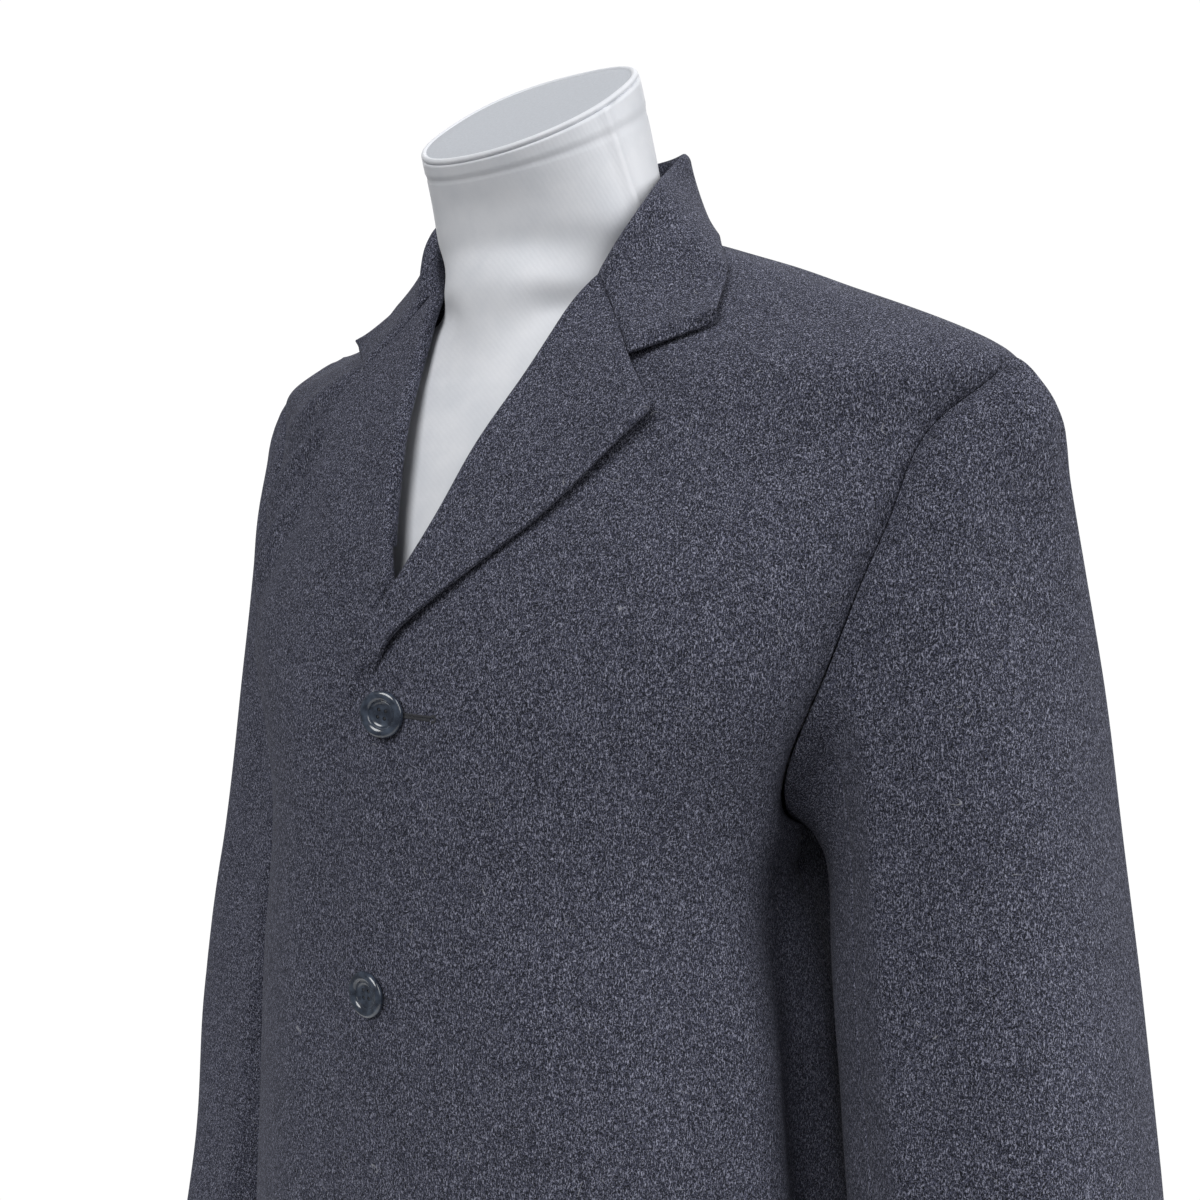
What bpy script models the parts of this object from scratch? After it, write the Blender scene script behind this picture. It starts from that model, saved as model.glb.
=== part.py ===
"""A man's single-breasted wool overcoat on a limbless dress form with a stand.

Metres, +Z up. The coat faces -Y, its wearer's left is +X. The origin is the middle of the
stand's underside. Every cloth piece is a wall of real thickness.
"""

import math

import bmesh
import bpy
import numpy as np

# Driving sizes in metres
CLOTH = 0.0028          # coating with its interlining
SEAM_GAP = 0.0003       # between pieces that are sewn together
LAP_GAP = 0.0012        # between the lapped fronts
SECTION_POWER = 2.5     # of the back and the sleeves: 2 is an ellipse, more is squarer
FRONT_EDGE_X = 0.022    # how far a front passes the centre line at the hem
SIDE_SEAM_ANGLE = math.radians(24)
BUTTON_RADIUS = 0.0125
BUTTON_THICKNESS = 0.0042
BUTTON_TOP = 1.258
BUTTON_SPACING = 0.150
BUTTON_COUNT = 3
BUTTON_X = 0.0045
BUTTON_LEAN = -0.0067   # the button line drifts this much from one button to the next
NECK_CAP_THICKNESS = 0.003
BASE_RADIUS = 0.165
BASE_THICKNESS = 0.012
POLE_RADIUS = 0.0125

# The coat's body: one row per height; a low front_power makes the front pointed at the middle
# height, half_width, centre_y, front_depth, back_depth, front_power
BODY_ROWS = (
    (0.450, 0.262, 0.000, 0.164, 0.170, 2.2),
    (0.620, 0.246, -0.003, 0.158, 0.167, 2.2),
    (0.780, 0.225, -0.011, 0.148, 0.162, 2.1),
    (0.900, 0.206, -0.022, 0.136, 0.157, 2.05),
    (1.030, 0.190, -0.037, 0.120, 0.155, 2.0),
    (1.110, 0.181, -0.042, 0.114, 0.152, 2.0),
    (1.180, 0.172, -0.041, 0.113, 0.142, 2.05),
    (1.230, 0.189, -0.027, 0.124, 0.136, 2.1),
    (1.280, 0.2205, -0.010, 0.1335, 0.132, 2.1),
    (1.335, 0.239, 0.001, 0.129, 0.128, 1.95),
    (1.370, 0.249, 0.006, 0.1205, 0.123, 1.75),
    (1.395, 0.2545, 0.010, 0.115, 0.118, 1.60),
    (1.415, 0.260, 0.013, 0.1085, 0.115, 1.55),
    (1.441, 0.2655, 0.018, 0.0980, 0.111, 1.50),
    (1.458, 0.240, 0.020, 0.0930, 0.106, 1.35),
    (1.474, 0.202, 0.020, 0.0885, 0.098, 1.25),
    (1.486, 0.170, 0.020, 0.0840, 0.089, 1.22),
    (1.498, 0.139, 0.020, 0.0765, 0.077, 1.25),
    (1.510, 0.104, 0.019, 0.0560, 0.060, 1.40),
    (1.520, 0.078, 0.018, 0.0400, 0.046, 1.60),
)

# Armhole seam from underarm to shoulder tip: along, front_y, back_y, height
ARMHOLE_ROWS = (
    (0.00, 0.022, 0.022, 1.190),
    (0.14, -0.012, 0.050, 1.203),
    (0.28, -0.040, 0.070, 1.236),
    (0.42, -0.049, 0.082, 1.283),
    (0.56, -0.042, 0.086, 1.328),
    (0.70, -0.0295, 0.081, 1.366),
    (0.85, -0.013, 0.062, 1.405),
    (1.00, 0.018, 0.018, 1.441),
)

# Lapel roll line up to the shoulder: along, x, height
ROLL_ROWS = (
    (0.00, -0.0255, 1.257),
    (0.10, -0.0215, 1.284),
    (0.20, -0.0120, 1.310),
    (0.30, 0.0005, 1.336),
    (0.42, 0.0125, 1.366),
    (0.52, 0.0225, 1.393),
    (0.63, 0.0345, 1.423),
    (0.74, 0.0435, 1.4535),
    (0.81, 0.0495, 1.472),
    (0.865, 0.0570, 1.4865),
    (0.92, 0.0680, 1.4975),
    (0.96, 0.0780, 1.506),
    (1.00, 0.0885, 1.5155),
)
GORGE_ALONG = 0.865     # where the collar takes over from the lapel on the roll line

# Outer edge of the lapel, break to tip: along, x, height
LAPEL_EDGE_ROWS = (
    (0.00, -0.0150, 1.266),
    (0.12, -0.0010, 1.291),
    (0.28, 0.0170, 1.309),
    (0.42, 0.0360, 1.3245),
    (0.58, 0.0605, 1.345),
    (0.75, 0.0865, 1.369),
    (0.88, 0.1060, 1.394),
    (1.00, 0.1220, 1.4135),
)
NOTCH_CORNER = (0.098, 1.4425)
NOTCH_SHARE = 0.62      # of the lapel's width that the gorge seam takes
LAPEL_BREAK_ROLL = 0.0045
LAPEL_TOP_ROLL = 0.0016
LAPEL_REST = 0.0012     # between a lapel's free edge and the forepart
RIGHT_LAPEL_START = 0.30
FOLD_ROOM = 0.0175      # kept between the two folds where they meet

# Collar, gorge to centre back: along, top_x, top_y, top_z, edge_x, edge_y, edge_z
COLLAR_ROWS = (
    (0.00, 0.0575, -0.0485, 1.4870, 0.137, -0.0385, 1.462),
    (0.13, 0.0620, -0.0420, 1.4990, 0.129, -0.0240, 1.476),
    (0.26, 0.0715, -0.0300, 1.5190, 0.1235, -0.0120, 1.493),
    (0.38, 0.0755, -0.0125, 1.5430, 0.1170, 0.0030, 1.502),
    (0.50, 0.0705, 0.0090, 1.5585, 0.104, 0.0170, 1.505),
    (0.65, 0.0585, 0.0340, 1.5635, 0.087, 0.0440, 1.502),
    (0.82, 0.0350, 0.0570, 1.5650, 0.051, 0.0760, 1.499),
    (1.00, 0.0000, 0.0660, 1.5655, 0.000, 0.0930, 1.497),
)
COLLAR_ROLL = 0.0028
COLLAR_FOOT_RISE = 0.0042
COLLAR_FRONT_REACH = 0.30

# Sleeve rings below the head: height, centre_x, centre_y, half_width, half_depth
SLEEVE_ROWS = (
    (0.790, 0.298, 0.004, 0.054, 0.063),
    (0.880, 0.2845, 0.021, 0.069, 0.069),
    (0.980, 0.2730, 0.032, 0.0785, 0.075),
    (1.080, 0.2575, 0.040, 0.0775, 0.078),
    (1.160, 0.2470, 0.045, 0.0740, 0.080),
)
SLEEVE_SLANT = 0.155    # a ring climbs this much toward its outer side
SLEEVE_FRONT_SEAM = 0.30
SLEEVE_BACK_SEAM = 0.36

# Dress form: height, half_width, centre_y, front_depth, back_depth, tilt
FORM_ROWS = (
    (0.800, 0.112, -0.028, 0.082, 0.086, 0),
    (0.812, 0.128, -0.028, 0.094, 0.098, 0),
    (0.850, 0.146, -0.026, 0.108, 0.110, 0),
    (0.930, 0.157, -0.026, 0.116, 0.118, 0),
    (1.040, 0.142, -0.036, 0.106, 0.112, 0),
    (1.170, 0.144, -0.038, 0.104, 0.110, 0),
    (1.270, 0.168, -0.012, 0.118, 0.112, 0),
    (1.350, 0.182, 0.002, 0.109, 0.112, 0),
    (1.410, 0.188, 0.010, 0.098, 0.104, 0),
    (1.445, 0.186, 0.015, 0.090, 0.096, 0),
    (1.470, 0.178, 0.017, 0.086, 0.088, 0),
    (1.488, 0.163, 0.017, 0.083, 0.078, 0),
    (1.500, 0.122, 0.010, 0.070, 0.062, 0),
    (1.508, 0.078, 0.002, 0.060, 0.050, 0),
    (1.518, 0.0705, -0.004, 0.061, 0.050, 0.02),
    (1.532, 0.0715, -0.012, 0.058, 0.048, 0.10),
    (1.556, 0.0690, -0.022, 0.054, 0.049, 0.36),
    (1.585, 0.0650, -0.034, 0.050, 0.050, 0.68),
)
FORM_CLEARANCE = 0.0020


def spline(rows):
    """Natural cubic spline through a table whose first column is the parameter."""
    table = np.array(rows, float)
    knots, values = table[:, 0], table[:, 1:]
    count = len(knots)
    step = np.diff(knots)
    matrix = np.eye(count)
    right = np.zeros_like(values)
    for i in range(1, count - 1):
        matrix[i, i - 1:i + 2] = step[i - 1], 2 * (step[i - 1] + step[i]), step[i]
        rise = (values[i + 1] - values[i]) / step[i] - (values[i] - values[i - 1]) / step[i - 1]
        right[i] = 6 * rise
    bend = np.linalg.solve(matrix, right)

    def at(parameter):
        u = np.clip(np.asarray(parameter, float), knots[0], knots[-1])
        i = np.clip(np.searchsorted(knots, u) - 1, 0, count - 2)
        h = step[i][..., None]
        left = (knots[i + 1] - u)[..., None]
        past = (u - knots[i])[..., None]
        value = bend[i] * left ** 3 / (6 * h) + bend[i + 1] * past ** 3 / (6 * h)
        value += (values[i] / h - bend[i] * h / 6) * left
        value += (values[i + 1] / h - bend[i + 1] * h / 6) * past
        return value

    return at


def smooth_step(value):
    t = np.clip(value, 0.0, 1.0)
    return t * t * (3 - 2 * t)


body_row = spline(BODY_ROWS)
armhole_row = spline(ARMHOLE_ROWS)
roll_row = spline(ROLL_ROWS)
lapel_edge_row = spline(LAPEL_EDGE_ROWS)
collar_row = spline(COLLAR_ROWS)
sleeve_row = spline(SLEEVE_ROWS)
form_row = spline(FORM_ROWS)


def section_point(angle, height, half_width, centre_y, front_depth, back_depth, front_power):
    """Point of a superellipse section; angle -90 is the front centre, 0 the left side."""
    cosine, sine = np.cos(angle), np.sin(angle)
    power = np.where(sine < 0, front_power, SECTION_POWER)
    size = (np.abs(cosine) ** power + np.abs(sine) ** power) ** (1 / power)
    depth = np.where(sine < 0, front_depth, back_depth)
    return np.stack([half_width * cosine / size, centre_y + depth * sine / size,
                     np.asarray(height, float) + 0 * angle], -1)


def body_point(angle, height):
    angle, height = np.broadcast_arrays(np.asarray(angle, float), np.asarray(height, float))
    row = body_row(height)
    return section_point(angle, height, *np.moveaxis(row, -1, 0))


def body_normal(angle, height):
    """Outward unit normal of the coat's body."""
    small = 0.002
    around = body_point(angle + small, height) - body_point(angle - small, height)
    upward = body_point(angle, height + small) - body_point(angle, height - small)
    normal = np.cross(around, upward)
    return normal / np.linalg.norm(normal, axis=-1, keepdims=True)


def angle_from_x(x, height):
    """Angle of the front point of the section at this x."""
    row = body_row(height)
    cosine = np.clip(x / row[..., 0], -1, 1)
    sine = -(1 - np.abs(cosine) ** row[..., 4]) ** (1 / row[..., 4])
    return np.arctan2(sine, cosine)


def angle_from_y(y, height):
    """Angle of the left-side point of the section at this y."""
    row = body_row(height)
    depth = np.where(y < row[..., 1], row[..., 2], row[..., 3])
    power = np.where(y < row[..., 1], row[..., 4], SECTION_POWER)
    sine = np.clip((y - row[..., 1]) / depth, -1, 1)
    cosine = (1 - np.abs(sine) ** power) ** (1 / power)
    return np.arctan2(sine, cosine)


def body_fraction(points):
    """How far out the points are in the section at their height; 1 is on the coat's body."""
    height = np.clip(points[..., 2], BODY_ROWS[0][0], BODY_ROWS[-1][0])
    row = body_row(height)
    front = points[..., 1] < row[..., 1]
    depth = np.where(front, row[..., 2], row[..., 3])
    power = np.where(front, row[..., 4], SECTION_POWER)
    across = np.abs(points[..., 0] / row[..., 0]) ** power
    along = np.abs((points[..., 1] - row[..., 1]) / depth) ** power
    return (across + along) ** (1 / power)


def body_level(points):
    """Signed distance, roughly, from the coat's body surface; outside is positive."""
    small = 0.0005
    slope = np.stack([(body_fraction(points + small * axis) - body_fraction(points - small * axis))
                      / (2 * small) for axis in np.eye(3)], -1)
    length = np.linalg.norm(slope, axis=-1, keepdims=True)
    return (body_fraction(points) - 1) / length[..., 0], slope / length


def push_out(points, clearance):
    """Points moved out until they clear the coat's body surface."""
    moved = points.copy()
    for _ in range(4):
        distance, outward = body_level(moved)
        near = smooth_step((BODY_ROWS[-1][0] + 0.008 - moved[..., 2]) / 0.010)
        short = np.maximum(clearance - distance, 0) * near
        moved = moved + outward * short[..., None]
    return moved


def wall_object(name, outer, inner):
    """Closed wall between two grids of points."""
    rows, columns = outer.shape[:2]
    mesh = bpy.data.meshes.new(name)
    shape = bmesh.new()
    layers = [[[shape.verts.new(point) for point in row] for row in layer] for layer in (outer, inner)]

    def face(*corners):
        shape.faces.new(corners)

    for i in range(rows - 1):
        for j in range(columns - 1):
            face(layers[0][i][j], layers[0][i][j + 1], layers[0][i + 1][j + 1], layers[0][i + 1][j])
            face(layers[1][i][j], layers[1][i + 1][j], layers[1][i + 1][j + 1], layers[1][i][j + 1])
    for j in range(columns - 1):
        face(layers[0][0][j + 1], layers[0][0][j], layers[1][0][j], layers[1][0][j + 1])
        face(layers[0][-1][j], layers[0][-1][j + 1], layers[1][-1][j + 1], layers[1][-1][j])
    for i in range(rows - 1):
        face(layers[0][i][0], layers[0][i + 1][0], layers[1][i + 1][0], layers[1][i][0])
        face(layers[0][i + 1][-1], layers[0][i][-1], layers[1][i][-1], layers[1][i + 1][-1])
    bmesh.ops.recalc_face_normals(shape, faces=shape.faces)
    shape.to_mesh(mesh)
    shape.free()
    return add_object(name, mesh)


def add_object(name, mesh):
    item = bpy.data.objects.new(name, mesh)
    coat_collection.objects.link(item)
    mesh.shade_smooth()
    mesh.set_sharp_from_angle(angle=math.radians(45))
    return item


def plain_material(name, colour, roughness, metallic=0.0):
    material = bpy.data.materials.new(name)
    material.use_nodes = True
    shader = material.node_tree.nodes["Principled BSDF"]
    shader.inputs["Base Color"].default_value = (*colour, 1)
    shader.inputs["Roughness"].default_value = roughness
    shader.inputs["Metallic"].default_value = metallic
    return material


def mirrored(points):
    """The same points on the wearer's right, keeping their order."""
    return points * np.array([-1.0, 1.0, 1.0])


for old in list(bpy.data.objects):
    bpy.data.objects.remove(old, do_unlink=True)
coat_collection = bpy.data.collections.new("overcoat_on_dress_form")
bpy.context.scene.collection.children.link(coat_collection)


# Fronts: a patch between the front edge with the roll line and the side seam with the armhole

HEM = BODY_ROWS[0][0]
SEAM_SPANS = 12         # rows of faces below the underarm
ARMHOLE_SPANS = 13      # rows of faces beside the armhole
EDGE_SPANS = 12         # rows of faces below the break of the lapel
NECK_SPANS = 5          # rows of faces beside the back neckline
UNDERARM = ARMHOLE_ROWS[0][3]
TIP = ARMHOLE_ROWS[-1][3]
ROLL_STATIONS = np.array((0, 0.08, 0.16, 0.24, 0.33, 0.43, 0.53, 0.63, 0.72, 0.80, GORGE_ALONG,
                          0.91, 0.955, 1))


def front_inner_boundary():
    """Angle and height along the front edge, the roll line and the neckline."""
    heights = np.linspace(HEM, ROLL_ROWS[0][2], 40)
    reach = FRONT_EDGE_X + (-ROLL_ROWS[0][1] - FRONT_EDGE_X) * smooth_step((heights - 1.1) / 0.157)
    edge = np.stack([angle_from_x(-reach, heights), heights], -1)
    edge = by_length(edge, np.linspace(0, 1, EDGE_SPANS + 1))
    roll = roll_row(ROLL_STATIONS[1:])
    top = np.stack([angle_from_x(roll[:, 0], roll[:, 1]), roll[:, 1]], -1)
    top[-1, 0] = 0.0
    return np.concatenate([edge, top])


def side_boundary(back):
    """Angle and height along the side seam and the armhole."""
    heights = np.linspace(HEM, UNDERARM, 40)
    seam = np.stack([np.full(40, angle_from_y(ARMHOLE_ROWS[0][1], UNDERARM)), heights], -1)
    blend = smooth_step((heights - 0.9) / (UNDERARM - 0.9))
    seam[:, 0] = SIDE_SEAM_ANGLE * (1 - blend) + seam[:, 0] * blend
    arm = armhole_row(np.linspace(0, 1, 60)[1:])
    y = arm[:, 1] if back else arm[:, 0]
    top = np.stack([angle_from_y(y, arm[:, 2]), arm[:, 2]], -1)
    top[-1, 0] = 0.0
    low = by_length(seam, np.linspace(0, 1, SEAM_SPANS + 1))
    high = by_length(np.concatenate([seam[-1:], top]), np.linspace(0, 1, ARMHOLE_SPANS + 1))
    return np.concatenate([low, high[1:]])


def back_inner_boundary():
    """Angle and height along the centre back seam and the back neckline."""
    nape = 1.5145
    heights = np.linspace(HEM, nape, 40)
    seam = np.stack([np.full(40, math.pi / 2), heights], -1)
    turn = np.linspace(math.pi / 2, 0, 30)[1:]
    neck = np.stack([turn, np.linspace(nape, ROLL_ROWS[-1][2], 29)], -1)
    low = by_length(seam, np.linspace(0, 1, SEAM_SPANS + ARMHOLE_SPANS - NECK_SPANS + 1))
    high = by_length(np.concatenate([seam[-1:], neck]), np.linspace(0, 1, NECK_SPANS + 1))
    return np.concatenate([low, high[1:]])


def by_length(curve, fractions):
    """Angle and height at these fractions of the curve's real length."""
    points = body_point(curve[:, 0], curve[:, 1])
    steps = np.linalg.norm(np.diff(points, axis=0), axis=1)
    length = np.concatenate([[0], np.cumsum(steps)])
    wanted = fractions * length[-1]
    return np.stack([np.interp(wanted, length, curve[:, i]) for i in range(2)], -1)


def panel_patch(inner, outer, columns):
    """Angles and heights of a grid between two boundaries."""
    share = np.linspace(0, 1, columns)[None, :, None]
    return inner[:, None, :] * (1 - share) + outer[:, None, :] * share


def trimmed(patch, seam_columns):
    """The patch drawn back by half a seam gap along its side, shoulder and neck edges."""
    grid = patch.copy()
    for column, toward in seam_columns:
        span = np.linalg.norm(body_point(patch[:, toward, 0], patch[:, toward, 1])
                              - body_point(patch[:, column, 0], patch[:, column, 1]), axis=-1)
        part = np.clip(SEAM_GAP / 2 / np.maximum(span, 1e-6), 0, 0.5)[:, None]
        grid[:, column] = patch[:, column] * (1 - part) + patch[:, toward] * part
    span = np.linalg.norm(body_point(grid[-2, :, 0], grid[-2, :, 1])
                          - body_point(grid[-1, :, 0], grid[-1, :, 1]), axis=-1)
    part = np.clip(SEAM_GAP / 2 / np.maximum(span, 1e-6), 0, 0.5)[:, None]
    grid[-1] = grid[-1] * (1 - part) + grid[-2] * part
    return grid


FRONT_COLUMNS = 11
BACK_COLUMNS = 9


def panel_normal(patch):
    """Normals of a panel; the two panels at a shoulder seam share theirs."""
    angle = patch[..., 0].copy()
    angle[-1] = 0
    return body_normal(angle, patch[..., 1])


def under_depth(points):
    """How far the lapped forepart is sunk under the other one at these points."""
    across = smooth_step((0.085 - points[..., 0]) / 0.050)
    return (CLOTH + LAP_GAP) * across * smooth_step((1.400 - points[..., 2]) / 0.055)


def front_wall(name, under):
    """One forepart; the one that lies under is sunk where the other laps it."""
    patch = panel_patch(front_inner_boundary(), side_boundary(back=False), FRONT_COLUMNS)
    patch = trimmed(patch, ((FRONT_COLUMNS - 1, FRONT_COLUMNS - 2),))
    outer = body_point(patch[..., 0], patch[..., 1])
    normal = panel_normal(patch)
    if under:
        outer = outer - normal * under_depth(outer)[..., None]
    inner = outer - normal * CLOTH
    if under:
        outer, inner = mirrored(outer), mirrored(inner)
    return wall_object(name, outer, inner)


def back_wall(name, mirror):
    patch = panel_patch(back_inner_boundary(), side_boundary(back=True), BACK_COLUMNS)
    patch = trimmed(patch, ((0, 1), (BACK_COLUMNS - 1, BACK_COLUMNS - 2)))
    outer = body_point(patch[..., 0], patch[..., 1])
    inner = outer - panel_normal(patch) * CLOTH
    if mirror:
        outer, inner = mirrored(outer), mirrored(inner)
    return wall_object(name, outer, inner)


front_wall("front_left", under=False)
front_wall("front_right", under=True)
back_wall("back_left", mirror=False)
back_wall("back_right", mirror=True)


# Lapels: the forepart's facing folded out along the roll line

LAPEL_SHARES = (0, 0.18, 0.42, NOTCH_SHARE, 0.83, 1)
FOLD_STEPS = 4


def lapel_grid(under):
    """Outer and inner points of a lapel; the one under the other starts beside its fold."""
    stations = ROLL_STATIONS[:np.searchsorted(ROLL_STATIONS, GORGE_ALONG) + 1]
    if under:
        stations = np.concatenate([[RIGHT_LAPEL_START], stations[stations > RIGHT_LAPEL_START]])
    rows = stations / GORGE_ALONG
    roll = roll_row(stations)
    edge = lapel_edge_row(rows)
    if under:
        roll[:, 0] = np.maximum(roll[:, 0], FOLD_ROOM - roll[:, 0])
    shares = np.array(LAPEL_SHARES)
    corner, tip, gorge = np.array(NOTCH_CORNER), edge[-1], roll[-1]
    before = np.minimum(shares / NOTCH_SHARE, 1)[:, None]
    after = np.maximum((shares - NOTCH_SHARE) / (1 - NOTCH_SHARE), 0)[:, None]
    top_line = gorge + (corner - gorge) * before + (tip - corner) * after
    straight = gorge + (tip - gorge) * shares[:, None]
    flat = roll[:, None] * (1 - shares[None, :, None]) + edge[:, None] * shares[None, :, None]
    flat = flat + (top_line - straight)[None] * (rows ** 3)[:, None, None]
    angle = angle_from_x(flat[..., 0], flat[..., 1])
    base = body_point(angle, flat[..., 1])
    normal = body_normal(angle, flat[..., 1])
    if under:
        base = base - normal * under_depth(base)[..., None]
    roll_height = LAPEL_BREAK_ROLL + (LAPEL_TOP_ROLL - LAPEL_BREAK_ROLL) * smooth_step(rows)
    gap = LAPEL_REST + roll_height[:, None] * (1 - shares[None]) ** 2
    inner_top = base + normal * gap[..., None]
    outer_top = inner_top + normal * CLOTH
    run = np.gradient(base[:, 0], axis=0)
    run /= np.linalg.norm(run, axis=-1, keepdims=True)
    side = np.cross(run, normal[:, 0])
    side *= -np.sign(np.sum(side * (base[:, 1] - base[:, 0]), -1))[:, None]
    lowest = np.where(under & (roll[:, 1] < 1.375), 0, -math.pi / 2)[:, None]
    turn = lowest + (math.pi / 2 - lowest) * np.arange(FOLD_STEPS)[None] / FOLD_STEPS
    half = gap[:, 0][:, None, None] / 2
    wave, lift = np.cos(turn)[..., None], np.sin(turn)[..., None]
    edge_base, edge_side, edge_up = base[:, :1], side[:, None], normal[:, :1]
    outer_fold = edge_base + edge_side * (SEAM_GAP + (half + CLOTH) * wave) \
        + edge_up * (half + (half + CLOTH) * lift)
    inner_fold = edge_base + edge_side * (SEAM_GAP + half * wave) + edge_up * (half + half * lift)
    return np.concatenate([outer_fold, outer_top], 1), np.concatenate([inner_fold, inner_top], 1)


def lapel_wall(name, under):
    outer, inner = lapel_grid(under)
    if under:
        outer, inner = mirrored(outer), mirrored(inner)
    return wall_object(name, outer, inner)


lapel_wall("lapel_left", under=False)
lapel_wall("lapel_right", under=True)


# Collar: a stand that rises from the neckline, rolls over and falls on the shoulders

COLLAR_HALF_ROWS = (0, 0.035, 0.07, 0.11, 0.16, 0.22, 0.30, 0.40, 0.50, 0.62, 0.74, 0.87, 1.0)
STAND_STEPS = 2
ROLL_STEPS = 5
LEAF_STEPS = 6


def neckline(fractions):
    """Points and normals along the panels' neck edges, gorge to centre back."""
    front = front_inner_boundary()[EDGE_SPANS + np.searchsorted(ROLL_STATIONS, GORGE_ALONG):]
    back = back_inner_boundary()[-2:-NECK_SPANS - 2:-1]
    where = np.concatenate([front, back])
    corners = body_point(where[:, 0], where[:, 1])
    normals = body_normal(where[:, 0], where[:, 1])
    length = np.concatenate([[0], np.cumsum(np.linalg.norm(np.diff(corners, axis=0), axis=1))])
    wanted = np.asarray(fractions) * length[-1]
    return [np.stack([np.interp(wanted, length, part[:, i]) for i in range(3)], -1)
            for part in (corners, normals)]


def gorge_profile(fractions):
    """Middle line of the lapel's top end, drawn off by a seam gap, with its facing."""
    outer, inner = lapel_grid(under=False)
    last = FOLD_STEPS + LAPEL_SHARES.index(NOTCH_SHARE) + 1
    middle = (outer[:, :last] + inner[:, :last]) / 2
    onward = middle[-1] - middle[-2]
    onward /= np.linalg.norm(onward, axis=-1, keepdims=True)
    line = middle[-1] + onward * 2 * SEAM_GAP
    facing = (outer[-1, :last] - inner[-1, :last]) / CLOTH
    length = np.concatenate([[0], np.cumsum(np.linalg.norm(np.diff(line, axis=0), axis=1))])
    wanted = np.asarray(fractions) * length[-1]
    return [np.stack([np.interp(wanted, length, part[:, i]) for i in range(3)], -1)
            for part in (line, facing)]


def collar_half():
    """Middle line and facing of each row of the collar, gorge to centre back."""
    along = np.array(COLLAR_HALF_ROWS)
    foot, foot_normal = neckline(along)
    table = collar_row(along)
    top, edge = table[:, :3], table[:, 3:]
    foot = foot - foot_normal * CLOTH / 2
    paths, facings = [], []
    for i in range(len(along)):
        up = top[i] - foot[i]
        up /= np.linalg.norm(up)
        out = edge[i] - top[i]
        out -= up * np.dot(out, up)
        out /= np.linalg.norm(out)
        start = foot[i] + up * COLLAR_FOOT_RISE
        steps = np.linspace(0, 1, STAND_STEPS + 1)[:-1, None]
        stand = start + (top[i] - start) * steps
        turn = np.linspace(0, math.pi, ROLL_STEPS + 1)[:, None]
        roll = top[i] + COLLAR_ROLL * (out * (1 - np.cos(turn)) + up * np.sin(turn))
        begin = roll[-1]
        control = begin - up * 0.22 * np.linalg.norm(edge[i] - begin)
        t = np.linspace(0, 1, LEAF_STEPS + 1)[1:, None]
        leaf = (1 - t) ** 2 * begin + 2 * t * (1 - t) * control + t ** 2 * edge[i]
        path = np.concatenate([stand, roll, leaf])
        facing = np.cross(np.cross(up, out), np.gradient(path, axis=0))
        paths.append(path)
        facings.append(-facing / np.linalg.norm(facing, axis=-1, keepdims=True))
    paths, facings = np.array(paths), np.array(facings)
    corner = STAND_STEPS + ROLL_STEPS + LEAF_STEPS // 2
    steps = np.linalg.norm(np.diff(paths[0][:corner + 1], axis=0), axis=1)
    line, turned = gorge_profile(np.concatenate([[0], np.cumsum(steps)]) / steps.sum())
    beyond = np.linspace(0, 1, LEAF_STEPS - LEAF_STEPS // 2 + 1)[1:, None]
    line = np.concatenate([line, line[-1] + (edge[0] - line[-1]) * beyond])
    turned = np.concatenate([turned, np.repeat(turned[-1:], len(beyond), 0)])
    fade = (np.maximum(0, 1 - along / COLLAR_FRONT_REACH) ** 2)[:, None, None]
    paths = paths + (line - paths[0]) * fade
    facings = facings + (turned - facings[0]) * fade
    facings /= np.linalg.norm(facings, axis=-1, keepdims=True)
    leaf = slice(STAND_STEPS + ROLL_STEPS + 1, None)
    paths[1:, leaf] = push_out(paths[1:, leaf], CLOTH / 2 + LAPEL_REST)
    return paths, facings


def collar_wall(name):
    paths, facings = collar_half()
    outer, inner = paths + facings * CLOTH / 2, paths - facings * CLOTH / 2
    outer = np.concatenate([outer, mirrored(outer[-2::-1])])
    inner = np.concatenate([inner, mirrored(inner[-2::-1])])
    return wall_object(name, outer, inner)


collar_wall("collar")


# Sleeves: a head that rolls over from the armhole into rings down to the cuff

HEAD_ROWS = 8
ARM_ROWS = 8


def sleeve_ring(height, angle):
    row = sleeve_row(height)
    point = section_point(angle, height, row[..., 2], row[..., 1], row[..., 3], row[..., 3],
                          SECTION_POWER)
    across = point[..., 0].copy()
    point[..., 0] = across + row[..., 0]
    point[..., 2] += SLEEVE_SLANT * across
    return point


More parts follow.
